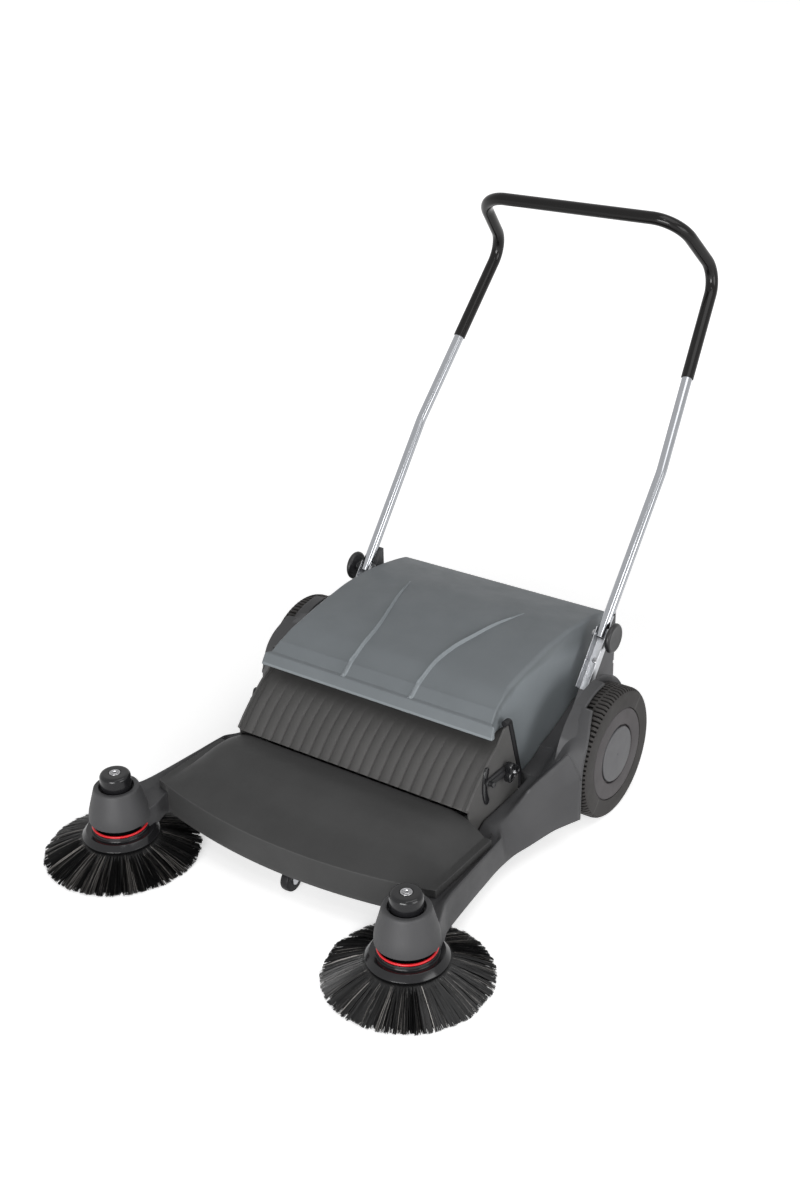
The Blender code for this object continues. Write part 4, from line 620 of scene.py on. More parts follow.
def skin(table, ys, reaches):
    """A moulded wall through rows (y, x, z, x, z, ...) with softened corners.

    A reach may itself be a table of (y, reach).
    """
    grid = []
    for y in ys:
        values = flow_row(y, table)
        softness = [flow(y, reach) if isinstance(reach, list) else reach for reach in reaches]
        outline = rounded(list(zip(values[::2], values[1::2], softness)))
        grid.append([Vector((x, y, z)) for x, z in outline])
    return shell(grid, WALL)


def arch_point(angle, radius):
    return radius * cos(radians(angle)), AXLE_Z + radius * sin(radians(angle))


def arch_z(y):
    """Height of the wheel arch's outside at y."""
    return AXLE_Z + sqrt(max(ARCH_RADIUS ** 2 - y * y, 0))


def arch_reach(angle):
    """How far the arch reaches out over the tyre, counted in degrees from straight ahead."""
    return WHEEL_FACE_X - flow(angle, [(0, 1), (28, 2), (40, 6), (50, 13), (60.5, 21)])


def shoulder_skin():
    """The part between hopper and wheel, behind the wing."""
    rows = []
    for y, shoulder_x, shoulder_z, ramp_x, ramp_z, height in [
            (-77, 296, 149, 322, 203, arch_z(-77)), (-45, 298, 156, 323, 213, arch_z(-45)),
            (0, 300, 170, 324, 226, arch_z(0)), (25, 302, 180, 325, 230, arch_z(25)),
            (60, 306, 192, 327, 230, arch_z(60)), (100, 314, 192, 329, 215, arch_z(100)),
            (130, 318, 190, 330, 195, 201.5), (FRAME_REAR_Y, 318, 156, 330, 152, 152.5)]:
        inner_z = shoulder_z - 0.5 if y < 140 else 160
        rows.append((y, FRAME_INNER_X, 40.5, FRAME_INNER_X, inner_z, shoulder_x, shoulder_z,
                     ramp_x, ramp_z, ARCH_PANEL_X - 0.5, height - 2.5))
    return skin(rows, spread(-77, FRAME_REAR_Y, 48), [0, 3, 10, 14, 0])


# Rows of y, inner z, foot z, ramp x and z, rise x and z, crest x and z
WING = [(-146.5, 125.5, 126, 318, 150.6, 340, 177, 363, 204),
        (-118, 131, 137, 320, 172, 333.5, 214, 362, 224),
        (-95, 137, 145, 321.5, 188, 333.5, 241, 356, 248.5),
        (-73.5, 148, 152, 322.5, 205, 334, 258, 350, 263.6)]


def wing_skin():
    """The fairing that rises from the hopper's side over the front of the wheel."""
    rows = []
    ys = spread(WING[0][0], WING[-1][0], 34)
    for y in ys:
        inner_z, foot_z, ramp_x, ramp_z, rise_x, rise_z, crest_x, crest_z = flow_row(y, WING)
        over = arch_z(y) + 0.8
        reach = arch_reach(degrees(acos(min(-y / ARCH_RADIUS, 1))))
        rim_z = max(over, 159 - 0.8 * (y - ys[0]))
        rows.append((y, FRAME_INNER_X, 40.5, FRAME_INNER_X, inner_z, 297.2, foot_z, ramp_x, ramp_z,
                     rise_x, rise_z, crest_x, max(crest_z, over), reach - 1, rim_z, reach + 0.6,
                     rim_z - 9))
    return skin(rows, ys, [0, 3, 10, 14, 12, 12, 3, 0])


def arch_band():
    """The curved wall over the tyre, wide in front of the wheel and a narrow lip above it."""
    reaches = [(angle, arch_reach(180 - angle)) for angle in spread(180, 119.5, 22)]
    reaches += [(angle, ARCH_LIP_X) for angle in spread(119, ARCH_LIP_END, 14)]
    reaches += [(angle, ARCH_PANEL_X + 0.6) for angle in spread(ARCH_LIP_END - 1.5, 3, 34)]
    stations = [(-ARCH_RADIUS, z, arch_reach(0)) for z in spread(60.5, 130, 7)]
    stations += [(*arch_point(angle, ARCH_RADIUS), reach) for angle, reach in reaches]
    low_x = ARCH_PANEL_X - WALL + 0.5
    sections = []
    for y, z, reach in stations:
        out = Vector((y, max(z - AXLE_Z, 0))).normalized()
        section = []
        for x, lift in rounded([(low_x, -6), (reach, -6, 1.2), (reach, 0, 3), (low_x, 0)]):
            section.append(Vector((x, y + out.x * lift, z + out.y * lift)))
        sections.append(section)
    return loft(sections)


def tower():
    """The cone that houses a side brush's spindle, with the recess that its dial sits in."""
    base, top, base_z, top_z = 58.5, 44, 83, 153
    floor_z = top_z - 10
    recess, stem = DIAL_RADIUS + 3.5, 6.4
    profile = [(base - 3, base_z, 0.6), (base, base_z, 1), (base - 0.8, base_z + 18, 12),
               (top + 3.2, top_z - 14, 12), (top - 0.5, top_z, 4.2), (recess, top_z, 1.8),
               (recess - 0.5, floor_z, 1), (stem, floor_z, 0.4), (stem, floor_z - 6, 0.4),
               (top - 3, floor_z - 6, 2), (base - 3, base_z + 12, 4)]
    return turned(profile, 96, Matrix.Translation((TOWER_X, TOWER_Y, 0)), 5, True)


LEG_ANGLE = radians(50.6)
LEG = Vector((0, cos(LEG_ANGLE), sin(LEG_ANGLE)))
LEG_FRONT = Vector((0, -sin(LEG_ANGLE), cos(LEG_ANGLE)))
BRACKET_BACK = 13
SHEET = 2
BRACKET_HALF_WIDTH = 13.3
POST_OUTER_X = 297


def leg_point(along, front, x=PIVOT.x):
    """A place near the handle's lower end: along the leg, and in front of its axis."""
    return Vector((x, PIVOT.y, PIVOT.z)) + LEG * along + LEG_FRONT * front


def post():
    """The gusset behind the handle bracket; its rear edge has small notches."""
    back = -(BRACKET_BACK + SHEET + 0.3)
    rear, low = FRAME_REAR_Y, 160
    apex = leg_point((rear - PIVOT.y + LEG.z * back) / LEG.y, back)
    base = leg_point((low - PIVOT.z - LEG_FRONT.z * back) / LEG.z, back)
    outline = [(base.y, low), (rear, low)]
    for z in (196, 240):
        outline += [(rear, z), (rear - 3, z + 1.5), (rear - 3, z + 6.5), (rear, z + 8)]
    outline += rounded([(rear, 270), (rear, apex.z - 1, 3), (apex.y - 6, apex.z - 7, 3),
                        (base.y, low)])[1:-1]
    return plate(outline, PIVOT.x - BRACKET_HALF_WIDTH, POST_OUTER_X)


def side_frame(side):
    arm_ys = spread(TOWER_Y + 12, -560, 18) + spread(-556, -536, 6)
    arm_ys += spread(-530, -350, 34) + spread(-345, -144.5, 62)
    reaches = [0, 3, [(-345, 4), (-264, 10)], [(-345, 4), (-264, 10), (-200, 14)],
               [(-345, 6), (-200, 14), (-144.5, 3)], 0]
    radius = ARCH_RADIUS - 1
    rear_y = FRAME_REAR_Y
    panel = [(-radius, 45)] + [arch_point(angle, radius) for angle in spread(180, 0, 48)]
    panel += [(rear_y - 1, 134), (rear_y - 1, 45)]
    inner = FRAME_INNER_X + 1
    rear = [(inner, 41.5), (inner, 158), (317, 154), (ARCH_PANEL_X - 1, 148),
            (ARCH_PANEL_X - 1, 45.5)]
    shelf = hopper_low.z - 0.3
    whole = gather(
        skin(ARM, arm_ys, reaches), wing_skin(), shoulder_skin(), arch_band(), tower(), post(),
        plate(panel, ARCH_PANEL_X - WALL, ARCH_PANEL_X),
        plate(rear, rear_y - WALL, rear_y - 0.5, 1),
        plate(rectangle(inner, 41.5, FRAME_FRONT_X + 2, 124.5), -146, -143, 1),
        plate(rectangle(-110, shelf - 5, 118, shelf), inner - 17, inner + 1))
    side_piece(side, "chassis_side_", whole, "frame_plastic", "chassis", "side_frame_", crease=30,
               bevel=0.9)


# Hood

HOOD_HALF_WIDTH = hood_high.x - 7
HOOD_END_X = HOOD_HALF_WIDTH - 16
HOOD_EDGE_Z = ARM_TOP_Z + 0.3 + WALL
HOOD_CROWN = [(0, 150), (0.12, 160.5), (0.28, 165.2), (0.45, 159), (0.60, 144), (0.68, 135.5),
              (0.78, 129.5), (0.90, 122.5), (1, HOOD_EDGE_Z)]


def hood_front_y(x):
    return hood_low.y + 0.00045 * x * x


def hood_z(share, x):
    """Height of the hood: a round bulge at the back, a flatter ledge in front, steep ends."""
    fall = 1 - (1 - clamp((HOOD_END_X - abs(x)) / 82)) ** 2.2
    sag = 3.5 * (x / HOOD_END_X) ** 2 * sin(pi * min(share / 0.7, 1))
    return HOOD_EDGE_Z + (flow(share, HOOD_CROWN) - HOOD_EDGE_Z - sag) * fall


def front_row(xs, z, back):
    return [Vector((x, hood_front_y(x) + back, z)) for x in xs]


def hood():
    half = spread(0, 240, 25) + spread(246, HOOD_END_X, 22)[1:]
    half += [HOOD_END_X + 6, HOOD_HALF_WIDTH]
    xs = [-x for x in reversed(half[1:])] + half
    skirt_x = HOOD_HALF_WIDTH + 0.6
    low = ARM_DIP_Z + 0.6
    grid = []
    for share in spread(1, 0, 52):
        row = [Vector((x, lerp(hood_high.y, hood_front_y(x), share), hood_z(share, x)))
               for x in xs]
        grid.append([Vector((-skirt_x, row[0].y, low)), *row, Vector((skirt_x, row[-1].y, low))])
    width = 299.6
    across = spread(-width, width, 61)
    apron = [front_row(across, z, back) for z, back in [
        (hood_low.z, 0), (hood_low.z + 20, 0), (HOOD_EDGE_Z - 4, 0), (HOOD_EDGE_Z - 1.2, 0.3)]]
    across = spread(width, HOOD_HALF_WIDTH - 1, 8)
    corners = []
    for side in SIDES:
        rows = [front_row(across, z, 0.3) for z in (low, HOOD_EDGE_Z - 1.2)]
        corners.append(sided(shell(rows, WALL), side))
    piece("hood_shell", gather(shell(grid, WALL), shell(apron, WALL), *corners), "hood_plastic",
          "chassis", "front_hood", crease=34, bevel=0.8)


# Brush cover

# Rows of share, y, z up the cover's side view
COVER_PROFILE = [(0, -365, 157), (0.165, -343, 180), (0.41, -306, 212), (0.66, -262, 241),
                 (1, -190, 262)]
FLUTES = 22
FLUTE_DEPTH = 4.5


def cover_point(share):
    return Vector((0, *flow_row(share, COVER_PROFILE)))


def cover_panel():
    half = CHEEK_X - 2
    fluted = half - 10
    stations = [(-half, 0), (5 - half, 0)]
    for k in range(FLUTES * 10):
        wave = sin(pi * (k % 10) / 10) ** 0.55 if k % 10 else 0
        stations.append((lerp(-fluted, fluted, k / FLUTES / 10), wave))
    stations += [(fluted, 0), (half - 5, 0), (half, 0)]
    grid = []
    for share in spread(0, 1, 40):
        place = cover_point(share)
        slope = cover_point(min(share + 0.01, 1)) - cover_point(max(share - 0.01, 0))
        outward = Vector((0, -slope.z, slope.y)).normalized()
        fade = clamp((0.70 - share) / 0.34)
        depth = FLUTE_DEPTH * fade * fade * (3 - 2 * fade)
        narrowing = 1 - 0.043 * max((share - 0.66) / 0.34, 0) ** 1.5
        grid.append([place + outward * (depth * wave - FLUTE_DEPTH) + Vector((x * narrowing, 0, 0))
                     for x, wave in stations])
    return shell(grid, 3)


def cheek_outline():
    upper = [cover_point(share) for share in spread(0, 0.66, 16)]
    return [(place.y, place.z + 4) for place in upper] + [
        (-235, 272), (-223, 274), (-184, 147), (-184, 66), (-345, 66), (-358.5, 100),
        (-358.5, 153)]


def slot_rim():
    """Thick curved rim, open to the rear, round the path of the lever's grip."""
    x0, x1 = CHEEK_X - 1, CHEEK_X + 3.2
    low, high = 150, 212
    sections = []
    for angle in spread(low, high, 30):
        end = min(min(angle - low, high - angle) / 5.5, 1)
        half = 7.3 * sqrt(max(1 - (1 - end) ** 2, 0.03))
        ring = rounded([(x0, -half), (x1, -half, 1.6), (x1, half, 1.6), (x0, half)], 3)
        sections.append([around_x(x, SWING_Y, SWING_Z, 76.5 + lift, radians(angle))
                         for x, lift in ring])
    return loft(sections)


def trim():
    """Round rubber edge along the rear of a cheek, its ends tucked in."""
    radius = 6
    top, low = Vector((CHEEK_X - 2, -223, 274)), Vector((CHEEK_X - 2, -184, 147))
    slope = (low - top).normalized()
    outward = Vector((0, -slope.z, slope.y)) * radius * 0.9
    corners = [top + Vector((0, -12, radius + 1)), top + Vector((0, 0, radius)) + outward,
               low + outward, low + Vector((0, radius * 0.9, -30))]
    return swept(rounded_path(corners, [8, 10], 8), radius, 14)


def cover():
    cheeks = [sided(plate(cheek_outline(), CHEEK_X - 4, CHEEK_X), side) for side in SIDES]
    piece("fluted_cover", gather(cover_panel(), *cheeks), "cover_plastic", "chassis",
          "brush_cover", crease=28, bevel=0.7)
    for side in SIDES:
        side_piece(side, "lever_slot_rim_", slot_rim(), "gloss_black", "chassis")
        side_piece(side, "edge_trim_", trim(), "rubber", "chassis", "cheek_trim_")


# Brush height levers and knobs

def link(first, second, first_radius, second_radius):
    """Two round ends joined by straight sides, as (y, z) points."""
    gap = second - first
    heading = atan2(gap.z, gap.y)
    swing = acos((first_radius - second_radius) / gap.length)
    points = [around_x(0, first.y, first.z, first_radius, turn)
              for turn in spread(heading + swing, heading + 2 * pi - swing, 14)]
    points += [around_x(0, second.y, second.z, second_radius, turn)
               for turn in spread(heading - swing, heading + swing, 14)]
    return [point.yz for point in points]


def lever(side):
    """Lever outside a cheek with a boss at the pivot and a round grip at its tip."""
    x0 = node_box("height_lever_right")[0].x
    pivot = Vector((0, SWING_Y, SWING_Z))
    tip = pivot + Vector((0, -66, 5))
    arm = plate(link(pivot, tip, 12.5, 8.5), x0, x0 + 5)
    grip = turned([(0, x0 + 1), (5.2, x0 + 1), (5.2, x0 + 12, 1), (6, x0 + 12.5, 1),
                   (6, x0 + 16.5, 1.5), (0, x0 + 16.8)], 24, on_x(tip.y, tip.z), 3)
    web = plate(link(pivot.lerp(tip, 0.25), pivot.lerp(tip, 0.85), 4.5, 3.5), x0 + 4, x0 + 7.2)
    side_piece(side, "swing_lever_", gather(arm, grip, web), "black_plastic", "brush_carrier",
               "height_lever_", bevel=0.8)


def star_knob(side):
    """Three-lobed knob with a dished face and a bright screw in its middle."""
    x0, x1 = star_low.x, star_high.x
    sections = []
    for x, shrink in [(x0, 1.2), (x0 + 1, 0.3), (x0 + 4, 0), (x1 - 3, 0), (x1 - 1, 0.6), (x1, 2),
                      (x1, 4), (x1 - 1.2, 5.5)]:
        section = []
        for k in range(72):
            turn = 2 * pi * k / 72
            lobe = 9.2 * (0.5 - 0.5 * cos(3 * turn + 0.5)) ** 0.75
            section.append(around_x(x, SWING_Y, SWING_Z, star_half.y + 3.4 - lobe - shrink, turn))
        sections.append(section)
    side_piece(side, "star_knob_", loft(sections), "gloss_black", "height_knob_", "height_knob_")
    pin = [(0, x1 - 3), (4.5, x1 - 3), (4.5, x1 + 1.5, 1.2), (2.2, x1 + 1.6, 0.4),
           (2, x1 + 0.4, 0.3), (0, x1 + 0.4)]
    side_piece(side, "star_knob_pin_", turned(pin, 24, on_x(SWING_Y, SWING_Z), 3), "steel",
               "height_knob_")


# Hopper, the one piece that is drawn in metres, like the cuts that shape it

HOPPER_LOW, HOPPER_HIGH = [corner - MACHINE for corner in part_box("hopper")]
CROWN = [(-0.2795, 0.2720), (-0.2785, 0.2745), (-0.2698, 0.2888), (-0.2690, 0.2899),
         (-0.2672, 0.2908), (-0.2612, 0.2914), (-0.2600, 0.2918), (-0.2590, 0.2926),
         (-0.2392, 0.3068), (-0.2378, 0.3076), (-0.2362, 0.3081), (-0.2340, 0.3088)]
CROWN_REAR = [(-0.234, 0.3088), (-0.181, 0.3300), (-0.079, 0.3465), (-0.008, 0.3530),
              (0.046, 0.3525), (0.101, 0.3470), (0.158, 0.3375), (HOPPER_HIGH.y, 0.3265)]
HOPPER_HALF_WIDTH = 0.2565
HOPPER_TOP_HALF_WIDTH = 0.254
LIP_HALF_WIDTH = 0.275
HOPPER_WALL = 0.003
MOUTH_EDGE = [(0.076, -0.126), (0.123, -0.143), (0.242, -0.177), (0.3235, -0.179)]


def crown_z(y):
    if y >= CROWN_REAR[0][0]:
        return flow(y, CROWN_REAR)
    for (y0, z0), (y1, z1) in zip(CROWN, CROWN[1:]):
        if y <= y1:
            return lerp(z0, z1, (y - y0) / (y1 - y0))


LIP_FOOT = [(-0.279, 0.2675), (-0.226, 0.2620), (-0.177, 0.2500)]


def lip_half_width(y):
    return flow(y, [(-0.2795, LIP_HALF_WIDTH), (-0.2690, 0.2740), (-0.2640, 0.2660),
                    (-0.2380, 0.2595), (-0.181, HOPPER_TOP_HALF_WIDTH + 0.0005)])


def hopper_section(y, inset):
    """Closed outline of the hopper at y, counted round from the right foot."""
    lip = clamp((-0.181 - y) / 0.03)
    top_half = lip_half_width(y) - 0.0005 - inset
    half = lerp(HOPPER_HALF_WIDTH - inset, top_half, lip)
    top = crown_z(y) - inset
    low = HOPPER_LOW.z + inset
    edge = lerp(0.009, 0.0040, lip) - inset * 0.9
    edge = max(edge, 0.001)
    rear_edge = max(1 - (HOPPER_HIGH.y - y) / 0.012, 0) ** 2 * 0.008 if inset == 0 else 0
    top -= rear_edge
    right = [(half - 0.004, low), (half, low + 0.004),
             (lerp(half, top_half, 0.5), lerp(low, top, 0.5)),
             (top_half + 0.0005, top - edge - 0.02)]
    for angle in spread(0, 90, 9):
        a = radians(angle)
        right.append((top_half - edge + edge * cos(a), top - edge + edge * sin(a)))
    right += [((top_half - edge) * share, top) for share in (0.97, 0.9, 0.75, 0.5, 0.25)]
    left = [(-x, z) for x, z in reversed(right)]
    outline = right + [(0, top)] + left
    lean = 0.020 * clamp((y - 0.10) / 0.106)
    points = []
    for x, z in outline:
        share = (top - z) / (top - low)
        points.append(Vector((x, y - lean * share, z)))
    return points


RIB_LINE = [(-0.266, 0.0800), (-0.2394, 0.0805), (-0.1758, 0.0830), (-0.1275, 0.0895),
            (-0.072, 0.1040), (0, 0.1240), (0.0586, 0.1400)]


def rib_x(y):
    return flow(y, RIB_LINE)


def rib():
    """A raised ridge that starts as a gusset on the lip's step and fades out on the crown."""
    sections = []
    height_table = [(-0.2360, 0.0092), (-0.215, 0.0076), (-0.120, 0.0068), (-0.030, 0.0052),
                    (0.030, 0.0030), (0.058, 0.0004)]
    width_table = [(-0.2660, 0.0072), (-0.2420, 0.0066), (-0.225, 0.0052), (-0.040, 0.0046),
                   (0.058, 0.0024)]
    gusset_end = crown_z(-0.236) + height_table[0][1]
    for y in spread(-0.2660, -0.2375, 14) + spread(-0.236, 0.058, 60):
        x, z = rib_x(y), crown_z(y)
        ridge = z + flow(y, height_table)
        if y < -0.236:
            ridge = lerp(0.2930, gusset_end, (y + 0.2660) / 0.030)
        height = max(ridge - z, 0.0004)
        width = flow(y, width_table)
        outline = [(x - width, z - 0.0020), (x - width * 0.55, z + height * 0.25),
                   (x - width * 0.26, z + height * 0.90), (x - width * 0.12, z + height),
                   (x + width * 0.12, z + height), (x + width * 0.26, z + height * 0.90),
                   (x + width * 0.55, z + height * 0.25), (x + width, z - 0.0020)]
        sections.append([Vector((a, y, b)) for a, b in outline])
    return loft(sections)


def hopper():
    """One wall from the down-turned lip over the step and crown to the rear, open below."""
    rear = HOPPER_HIGH.y
    lip = rounded([(-0.2795, 0), (-0.2690, 0, 0.0018), (-0.2600, 0, 0.0014), (-0.2378, 0, 0.0016),
                   (-0.181, 0)], 6)
    lip_ys = sorted({round(y, 6) for y, _ in lip}) + spread(-0.236, -0.187, 8)
    ys = [-0.2790, -0.2770] + [y for y in lip_ys if y < -0.2355] + spread(-0.2350, -0.181, 14)
    ys = sorted(set(ys)) + spread(-0.176, rear - 0.014, 34) + spread(rear - 0.012, rear, 7)
    body = loft([hopper_section(y, 0) for y in ys])
    room_ys = [-0.2762, -0.2735, -0.269, -0.261, -0.253, -0.2475, -0.2425, -0.235]
    room_ys += spread(-0.225, rear - 0.014, 24) + [rear - HOPPER_WALL]
    room = loft([hopper_section(y, HOPPER_WALL) for y in room_ys])
    mouth = [(-0.300, 0.020), (-0.300, LIP_FOOT[0][1])] + LIP_FOOT
    mouth += [(flow(z, MOUTH_EDGE), z) for z in spread(0.246, 0.076, 14)]
    mouth += [(-0.120, 0.076), (-0.120, 0.020)]
    opening = plate(mouth, -0.300, 0.300)
    ribs = [sided(rib(), side) for side in SIDES]
    carved_body = carved(body, room, opening, unit=1)
    piece("hopper_shell", gather(carved_body, *ribs), "hopper_plastic", "hopper", "hopper",
          crease=32, bevel=0.7, unit=1)


# Handle

def handle():
    """The bent tube from pivot to pivot, and the black sleeve on its upper part."""
    radius = 11
    bend_z = 940.5
    knee = leg_point((600 - PIVOT.z) / LEG.z, 0, PIVOT.x + 3)
    shoulder = Vector((260, leg_point((bend_z - PIVOT.z) / LEG.z, 0).y, bend_z))
    right = [leg_point(-6, 0), knee, shoulder, Vector((232, 477, 1072))]
    left = [Vector((-p.x, p.y, p.z)) for p in reversed(right)]
    path = rounded_path(right + left, [150, 55, 70, 70, 55, 150], 3)
    mark = leg_point(46, 0)
    holes = [turned([(0, 0), (3, 0), (3, 20), (0, 20)], 24, on_x(mark.y, mark.z, x))
             for x in (PIVOT.x, -PIVOT.x - 20)]
    tube = carved(swept(path, radius, 32, radius - 1.5), *holes)
    piece("push_tube", tube, "chrome", "handle", "handle_tube", crease=40)
    start_z = node_box("handle_sleeve")[0].z + 8
    start = knee.lerp(shoulder, (start_z - knee.z) / (bend_z - knee.z))
    upper = [start] + [p for p in path if p.z > start_z + 4]
    upper += [Vector((-start.x, start.y, start.z))]
    sleeve = swept(upper, radius + 2.2, 32, radius + 0.4)
    piece("grip_sleeve", sleeve, "sleeve_black", "handle", "handle_sleeve", crease=50, bevel=0.6)


def bracket(side):
    """Bent sheet channel with rounded bends that the tube's end turns in."""
    half, inner = BRACKET_HALF_WIDTH, BRACKET_HALF_WIDTH - SHEET
    back, front = -BRACKET_BACK - SHEET, 7
    outline = rounded([(-half, back, 3.4), (half, back, 3.4), (half, front, 0.8),
                       (inner, front, 0.8), (inner, -BRACKET_BACK, 1.4),
                       (-inner, -BRACKET_BACK, 1.4), (-inner, front, 0.8), (-half, front, 0.8)],
                      4, True)
    sections = [[leg_point(along, b, PIVOT.x + a) for a, b in outline]
                for along in spread(-115, 14, 3)]
    side_piece(side, "fold_bracket_", loft(sections), "zinc", "chassis", "handle_bracket_",
               bevel=0.4)


def cross_screw(side):
    """Pan head with a cross recess, in the bracket's web."""
    turn = Vector((0, 0, 1)).rotation_difference(LEG_FRONT).to_matrix().to_4x4()
    seat = Matrix.Translation(leg_point(-52, 0.3 - BRACKET_BACK)) @ turn
    head = turned([(0, 0), (6, 0, 0.3), (5.8, 2.6, 1.4), (3, 3.5, 2), (0, 3.5)], 32, seat)
    a, b = 3, 0.6
    cross = [(a, -b), (a, b), (b, b), (b, a), (-b, a), (-b, b), (-a, b), (-a, -b), (-b, -b),
             (-b, -a), (b, -a), (b, -b)]
    recess = plate(cross, 2.2, 6, 2)
    bmesh.ops.transform(recess, matrix=seat, verts=recess.verts)
    side_piece(side, "cross_screw_", carved(head, recess), "steel", "chassis", "bracket_screw_")


def clamp_disc(side):
    """Round clamping knob: a disc with a soft rim on a waisted boss."""
    boss = PIVOT.x + BRACKET_HALF_WIDTH + 0.3
    disc = clamp_high.x - 12
    radius = clamp_half.z
    profile = [(0, boss), (10.5, boss, 1), (10.5, boss + 3, 1.5), (8.5, boss + 4, 1),
               (9, disc - 1, 2), (14, disc, 2), (radius - 3.5, disc, 2), (radius, disc + 3.5, 2.5),
               (radius, disc + 8.5, 2.5), (radius - 4, disc + 12, 3), (20, disc + 11.2, 6),
               (0, disc + 11)]
    side_piece(side, "clamp_disc_", turned(profile, 72, on_x(PIVOT.y, PIVOT.z), 5),
               "black_plastic", "clamp_knob_", "clamp_knob_")


# Side brushes

def strand(bm, root, control, tip, thickness, shade, layer, rings=4):
    """A tapered three-sided bristle along a bent line."""
    axis = (tip - root).normalized()
    u = axis.orthogonal().normalized()
    v = axis.cross(u)
    sections = []
    for t in spread(0, 1, rings):
        point = bend(root, control, tip, t)
        ring = circle(3, thickness * (1 - 0.25 * t))
        sections.append([point + (u * a + v * b) for a, b in ring])
    made = joined(bm, sections)
    # shade is the strand's painted sheen, kept on its vertices for the bristle finish.
    for ring in made:
        for vert in ring:
            vert[layer] = shade
    bm.faces.new(made[0])
    bm.faces.new(made[-1])


def bristle_cone():
    """Dark fluted body that fills the space between the strands of a side brush."""
    folds = 96
    under = FLANGE_UNDER_Z
    sections = []
    for radius, z, ripple in [
            (40, under, 0), (FLANGE_RADIUS - 3, under, 0), (98, 30.5, 1.2), (122, 16, 2.2),
            (BRUSH_RADIUS - 17.5, 4.8, 4.2), (BRUSH_RADIUS - 21.5, 3.6, 4.2), (85, 17.5, 1),
            (46, under - 16, 0), (40, under - 14, 0)]:
        section = []
        for k in range(folds * 4):
            turn = 2 * pi * k / (folds * 4)
            uneven = sin(7 * turn + 0.6) + sin(19 * turn + 2.1)
            wave = sin(folds * turn) * 0.6 + uneven * 0.35
            section.append(around_tower(radius + ripple * wave, turn, z))
        sections.append(section)
    bm = bmesh.new()
    bm.verts.layers.float.new("shade")
    joined(bm, sections, True)
    return bm


def side_bristles(seed):
    """Splayed strands in tight tufts from under the flange down to the floor."""
    rng = random.Random(seed)
    bm = bristle_cone()
    layer = bm.verts.layers.float.get("shade")
    low_z = 1.7
    # Slow waves round the brush, so that strands with painted sheen come in clumps
    sheen_waves = [(n, rng.uniform(0, 6.28), rng.uniform(0.03, 0.08)) for n in (5, 9, 14, 23, 37)]
    tufts = 88
    for row, (strands, shorter) in enumerate(((26, 0), (19, 4), (12, 12), (8, 24))):
        for tuft in range(tufts):
            base_turn = 2 * pi * (tuft + 0.25 * row) / tufts + rng.uniform(-0.008, 0.008)
            tuft_reach = abs(rng.gauss(0, 2.6))
            lean = rng.gauss(0, 0.010)
            tone = rng.gauss(0, 0.05)
            for _ in range(strands):
                turn = base_turn + rng.gauss(0, 0.015)
                share = (row + 0.5 + rng.uniform(-0.3, 0.3)) / 4
                root = around_tower(lerp(FLANGE_RADIUS - 4.5, 49, share), turn,
                                    FLANGE_UNDER_Z + lerp(0.8, -14, share))
                reach = BRUSH_RADIUS - 1.8 - shorter - tuft_reach - abs(rng.gauss(0, 1.6))
                end_turn = turn + lean + rng.gauss(0, 0.012)
                end_z = low_z + rng.uniform(0, 3) + 3.5 * (3 - row) / 3
                tip = around_tower(reach, end_turn, end_z)
                control = root.lerp(tip, 0.5)
                control.z += rng.uniform(3, 7.5)
                sheen_clump = sum(sin(turn * n + phase) * size for n, phase, size in sheen_waves)
                # Painted sheen: the clumped waves, a tuft's tone and a strand's own share pale some
                # strands as if lit.
                shade = 0.36 + sheen_clump + tone + rng.gauss(0, 0.19)
                strand(bm, root, control, tip, rng.uniform(0.42, 0.68), shade, layer)
    return bm


